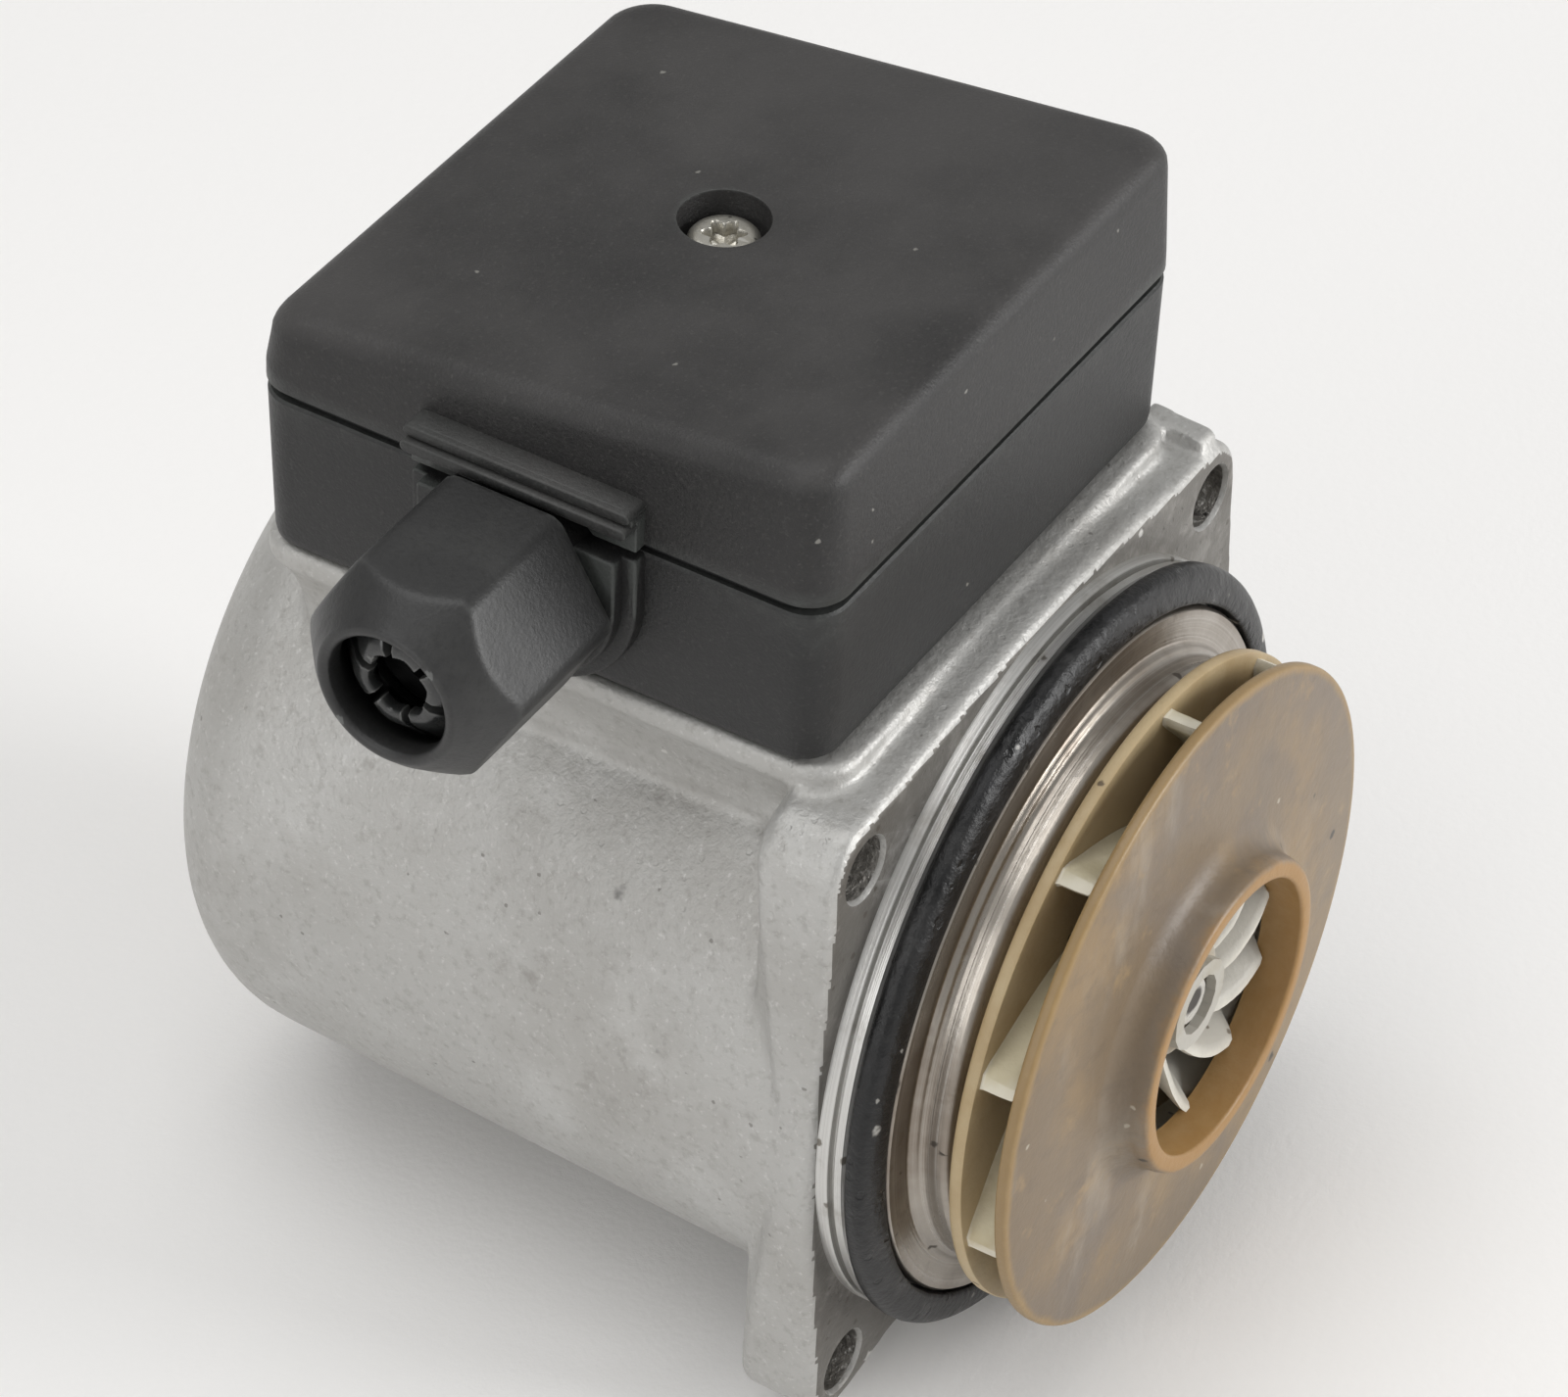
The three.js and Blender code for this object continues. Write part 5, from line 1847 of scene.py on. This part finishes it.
@dataclass
class Impeller:
    """The closed impeller: rear disc with hub and curved vanes, and the front shroud with its neck."""

    rear: float = 34.9
    vanes: int = 10
    vane_from: float = 6.0
    vane_to: float = 34.3
    wrap: float = 88.0
    phase: float = 160.0
    inlet: float = 1.1
    tip: float = 2.4
    lean: float = 17.0
    rim: float = 35.6
    neck_in: float = 14.9
    neck_out: float = 16.9

    def disc(self) -> Skin:
        """The rear disc, running up into the hub.

        Returns:
            The disc's skin.
        """
        rim = [(3.3, -11.5), (34.5, -11.5), (34.8, -11.62), (self.rear, -11.9), (self.rear, -12.7),
               (34.8, -12.92), (34.5, -13.0)]
        hub = [(14, -13.05), (11, -13.3), (9, -14.1), (7.6, -15.4), (6.8, -16.6), (6.4, -17.8),
               (6.1, -18.35), (5.6, -18.6), (3.3, -18.6)]
        return Skin().turn(rim + hub, segments=192)

    def front_edge(self, r: float) -> float:
        """How far forward a vane reaches at a radius.

        Args:
            r: the radius.

        Returns:
            The place along the shaft.
        """
        stations = (
            (6.0, -18.0), (9.0, -19.2), (12.0, -19.8), (14.5, -19.9),
            (15.3, -18.4), (20.0, -17.4), (36.0, -16.7),
        )
        for (r0, y0), (r1, y1) in zip(stations, stations[1:]):
            if r <= r1:
                t = (r - r0) / (r1 - r0)
                return y0 + (y1 - y0) * t
        return stations[-1][1]

    def vane(self, index: int) -> Skin:
        """One curved vane, leaning forward at its inlet.

        Args:
            index: which vane.

        Returns:
            Its skin.
        """
        rings, steps = [], 30
        for k in range(steps + 1):
            s = k / steps
            r = self.vane_from + (self.vane_to - self.vane_from) * s
            turn = math.radians(self.phase - self.wrap * (1 - s) ** 1.35 + 360 / self.vanes * index)
            thick = (self.inlet + (self.tip - self.inlet) * s) / 2
            if k in (0, steps):
                thick *= 0.6
            front = self.front_edge(r)
            width = 1.0 + 0.9 * max(0.0, 1 - (r - self.vane_from) / 9)
            ring = []
            for across, deep in (*VANE_SIDE, *((-across, deep) for across, deep in reversed(VANE_SIDE))):
                y = VANE_FOOT + (front - VANE_FOOT) * deep
                lean = math.radians(self.lean) * min(1.0, max(0.0, (21 - r) / 6)) * deep ** 1.3
                a = turn - lean + across * thick * width / r
                ring.append((r * math.cos(a), y, r * math.sin(a)))
            rings.append(ring)
        return Skin().loft(rings)

    def shroud(self) -> Skin:
        """The front shroud, its fillet and its neck ring.

        Returns:
            The shroud's skin.
        """
        back = [(self.neck_in, -18.9), (17.4, -18.3), (20, -17.7), (35.3, -17.0), (35.55, -17.15)]
        front = [(self.rim, -17.4), (self.rim, -18.0), (35.5, -18.25), (35.2, -18.4)]
        front += [(27, -18.75), (21.5, -19.2)]
        fillet = arc((20.3, -22.4), 3.2, 90, 180, 8)[1:]
        neck = [(self.neck_out, -23.1), (16.75, -23.38), (16.4, -23.5), (15.3, -23.5), (15.0, -23.38),
                (self.neck_in, -23.1)]
        return Skin().turn(back + front + fillet + neck, segments=192)

    def build(self, shop: PaintShop) -> None:
        """Moulds and paints the impeller.

        Args:
            shop: where the finishes come from.
        """
        body = self.disc().build("impeller_rear_disc", angle=50)
        shop.fit(body, DISC_COMPOSITE, Body.ROTOR, "impeller_body", "impeller_body")
        blades = Skin()
        for k in range(self.vanes):
            blades.join(self.vane(k))
        vanes = blades.build("impeller_vanes", angle=55)
        shop.fit(vanes, VANE_COMPOSITE, Body.ROTOR, "impeller_body")
        front = self.shroud().build("impeller_front_shroud_moulding", angle=50)
        shop.fit(front, SHROUD_COMPOSITE, Body.ROTOR, "impeller_front_shroud", "impeller_front_shroud")


# ---- the rest ----
@dataclass
class Internals:
    """CAD nodes whose own shapes are right, and that only need their finishes."""

    leads: tuple[tuple[str, int, int, int], ...] = (
        ("lead_live", 106, 62, 34), ("lead_neutral", 44, 80, 158), ("lead_start", 34, 34, 36))

    def build(self, shop: PaintShop) -> None:
        """Paints every remaining node.

        Args:
            shop: where the finishes come from.
        """
        shop.repaint(DARK_CERAMIC, "front_bearing", "rear_bearing", "thrust_washer")
        shop.repaint(SHAFT_CERAMIC, "shaft")
        shop.repaint(SLEEVE_STEEL, "rotor_can", "rotor_core")
        shop.repaint(moulding("lock_ring_moulding", 176, 173, 165), "impeller_lock_ring")
        shop.repaint(SOFT_RUBBER, "lid_gasket", "gland_seal", "thrust_cushion", "vent_plug_seal")
        shop.repaint(LAMINATIONS, "stator_core")
        shop.repaint(COPPER, "front_coil_head", "rear_coil_head")
        terminal_screws = ("terminal_screw_1", "terminal_screw_2", "terminal_screw_3")
        shop.repaint(BRASS, "vent_plug", *terminal_screws, "earth_screw")
        shop.repaint(ZINC, "box_fixing_screw_left", "box_fixing_screw_right")
        shop.repaint(moulding("terminal_block_moulding", 214, 209, 194), "terminal_block")
        shop.repaint(moulding("capacitor_can", 218, 218, 213, 0.38), "run_capacitor")
        for name, red, green, blue in self.leads:
            shop.repaint(insulation(name + "_sleeve", red, green, blue), name)


@dataclass
class Studio:
    """Floor, lights and camera."""

    eye: Point = (-0.409459, -0.248672, 0.475668)
    azimuth: float = -59.444
    elevation: float = 40.712
    roll: float = -1.969
    lens: float = 145.48
    sensor: float = 36.0
    floor_size: float = 3.0
    floor_tone: Colour = (0.9, 0.89, 0.88, 1.0)
    floor_shade: Colour = (0.88, 0.87, 0.86, 1.0)
    room_tone: Colour = (0.94, 0.94, 0.93, 1.0)
    room_light: float = 0.46
    aim_at: Point = (0.0, 0.0, 0.055)

    def floor(self) -> None:
        """The plain pale floor, with a trace of grain."""
        half = self.floor_size / 2
        mesh = bpy.data.meshes.new("studio_floor")
        corners = [(-half, -half, 0), (half, -half, 0), (half, half, 0), (-half, half, 0)]
        mesh.from_pydata(corners, [], [(0, 1, 2, 3)])
        obj = bpy.data.objects.new("studio_floor", mesh)
        bpy.context.scene.collection.objects.link(obj)
        paper = Finish(
            "studio_paper", self.floor_tone, roughness=0.9, specular=0.1,
            layers=(clouds(self.floor_shade, 0.3, 4, 0.3, 0.7),), reliefs=(grain(900, 0.02),),
        )
        obj.data.materials.append(paper.build())

    def lamp(self, name: str, at: Point, watts: float, size: float) -> None:
        """A soft square lamp aimed at the object.

        Args:
            name: the lamp's name.
            at: where it stands, in metres.
            watts: its power.
            size: its side, in metres.
        """
        data = bpy.data.lights.new(name, "AREA")
        data.energy, data.size = watts, size
        obj = bpy.data.objects.new(name, data)
        bpy.context.scene.collection.objects.link(obj)
        obj.location = at
        aim = Vector(self.aim_at) - Vector(at)
        obj.rotation_euler = aim.to_track_quat("-Z", "Y").to_euler()

    def lights(self) -> None:
        """A bright room, a key from the front right and a fill from the left."""
        world = bpy.data.worlds.new("studio_room")
        bpy.context.scene.world = world
        world.use_nodes = True
        background = world.node_tree.nodes["Background"]
        background.inputs["Color"].default_value = self.room_tone
        background.inputs["Strength"].default_value = self.room_light
        self.lamp("key_front", (0.42, -1.0, 0.42), 9.0, 0.55)
        self.lamp("fill_left", (-1.0, 0.2, 0.45), 2.8, 0.7)
        self.lamp("top_soft", (-0.15, 0.25, 1.15), 5.5, 0.9)

    def camera(self) -> None:
        """The camera, from where it stands and its three angles."""
        a, e, r = (math.radians(v) for v in (self.azimuth, self.elevation, self.roll))
        back = Vector((math.sin(a) * math.cos(e), -math.cos(a) * math.cos(e), math.sin(e)))
        right = Vector((math.cos(a), math.sin(a), 0))
        up = back.cross(right)
        c, s = math.cos(r), math.sin(r)
        data = bpy.data.cameras.new("studio_camera")
        data.sensor_width, data.lens, data.clip_start = self.sensor, self.lens, 0.01
        obj = bpy.data.objects.new("studio_camera", data)
        bpy.context.scene.collection.objects.link(obj)
        turned = Matrix((c * right - s * up, s * right + c * up, back)).transposed().to_4x4()
        obj.matrix_world = Matrix.Translation(self.eye) @ turned
        bpy.context.scene.camera = obj

    def build(self) -> None:
        """Sets up the whole studio."""
        self.floor()
        self.lights()
        self.camera()
        bpy.context.scene.view_settings.view_transform = "Standard"


def main() -> None:
    """Builds the studio and every part of the pump head."""
    logging.basicConfig(level=logging.INFO, format="%(name)s: %(message)s")
    shop = PaintShop()
    Studio().build()
    for kind in (Housing, BoxBase, BoxLid, LidScrew, GlandNut, ClampCage, WetEnd, Impeller, Internals):
        LOG.info("making %s", kind.__name__)
        kind().build(shop)


if __name__ == "__main__":
    main()
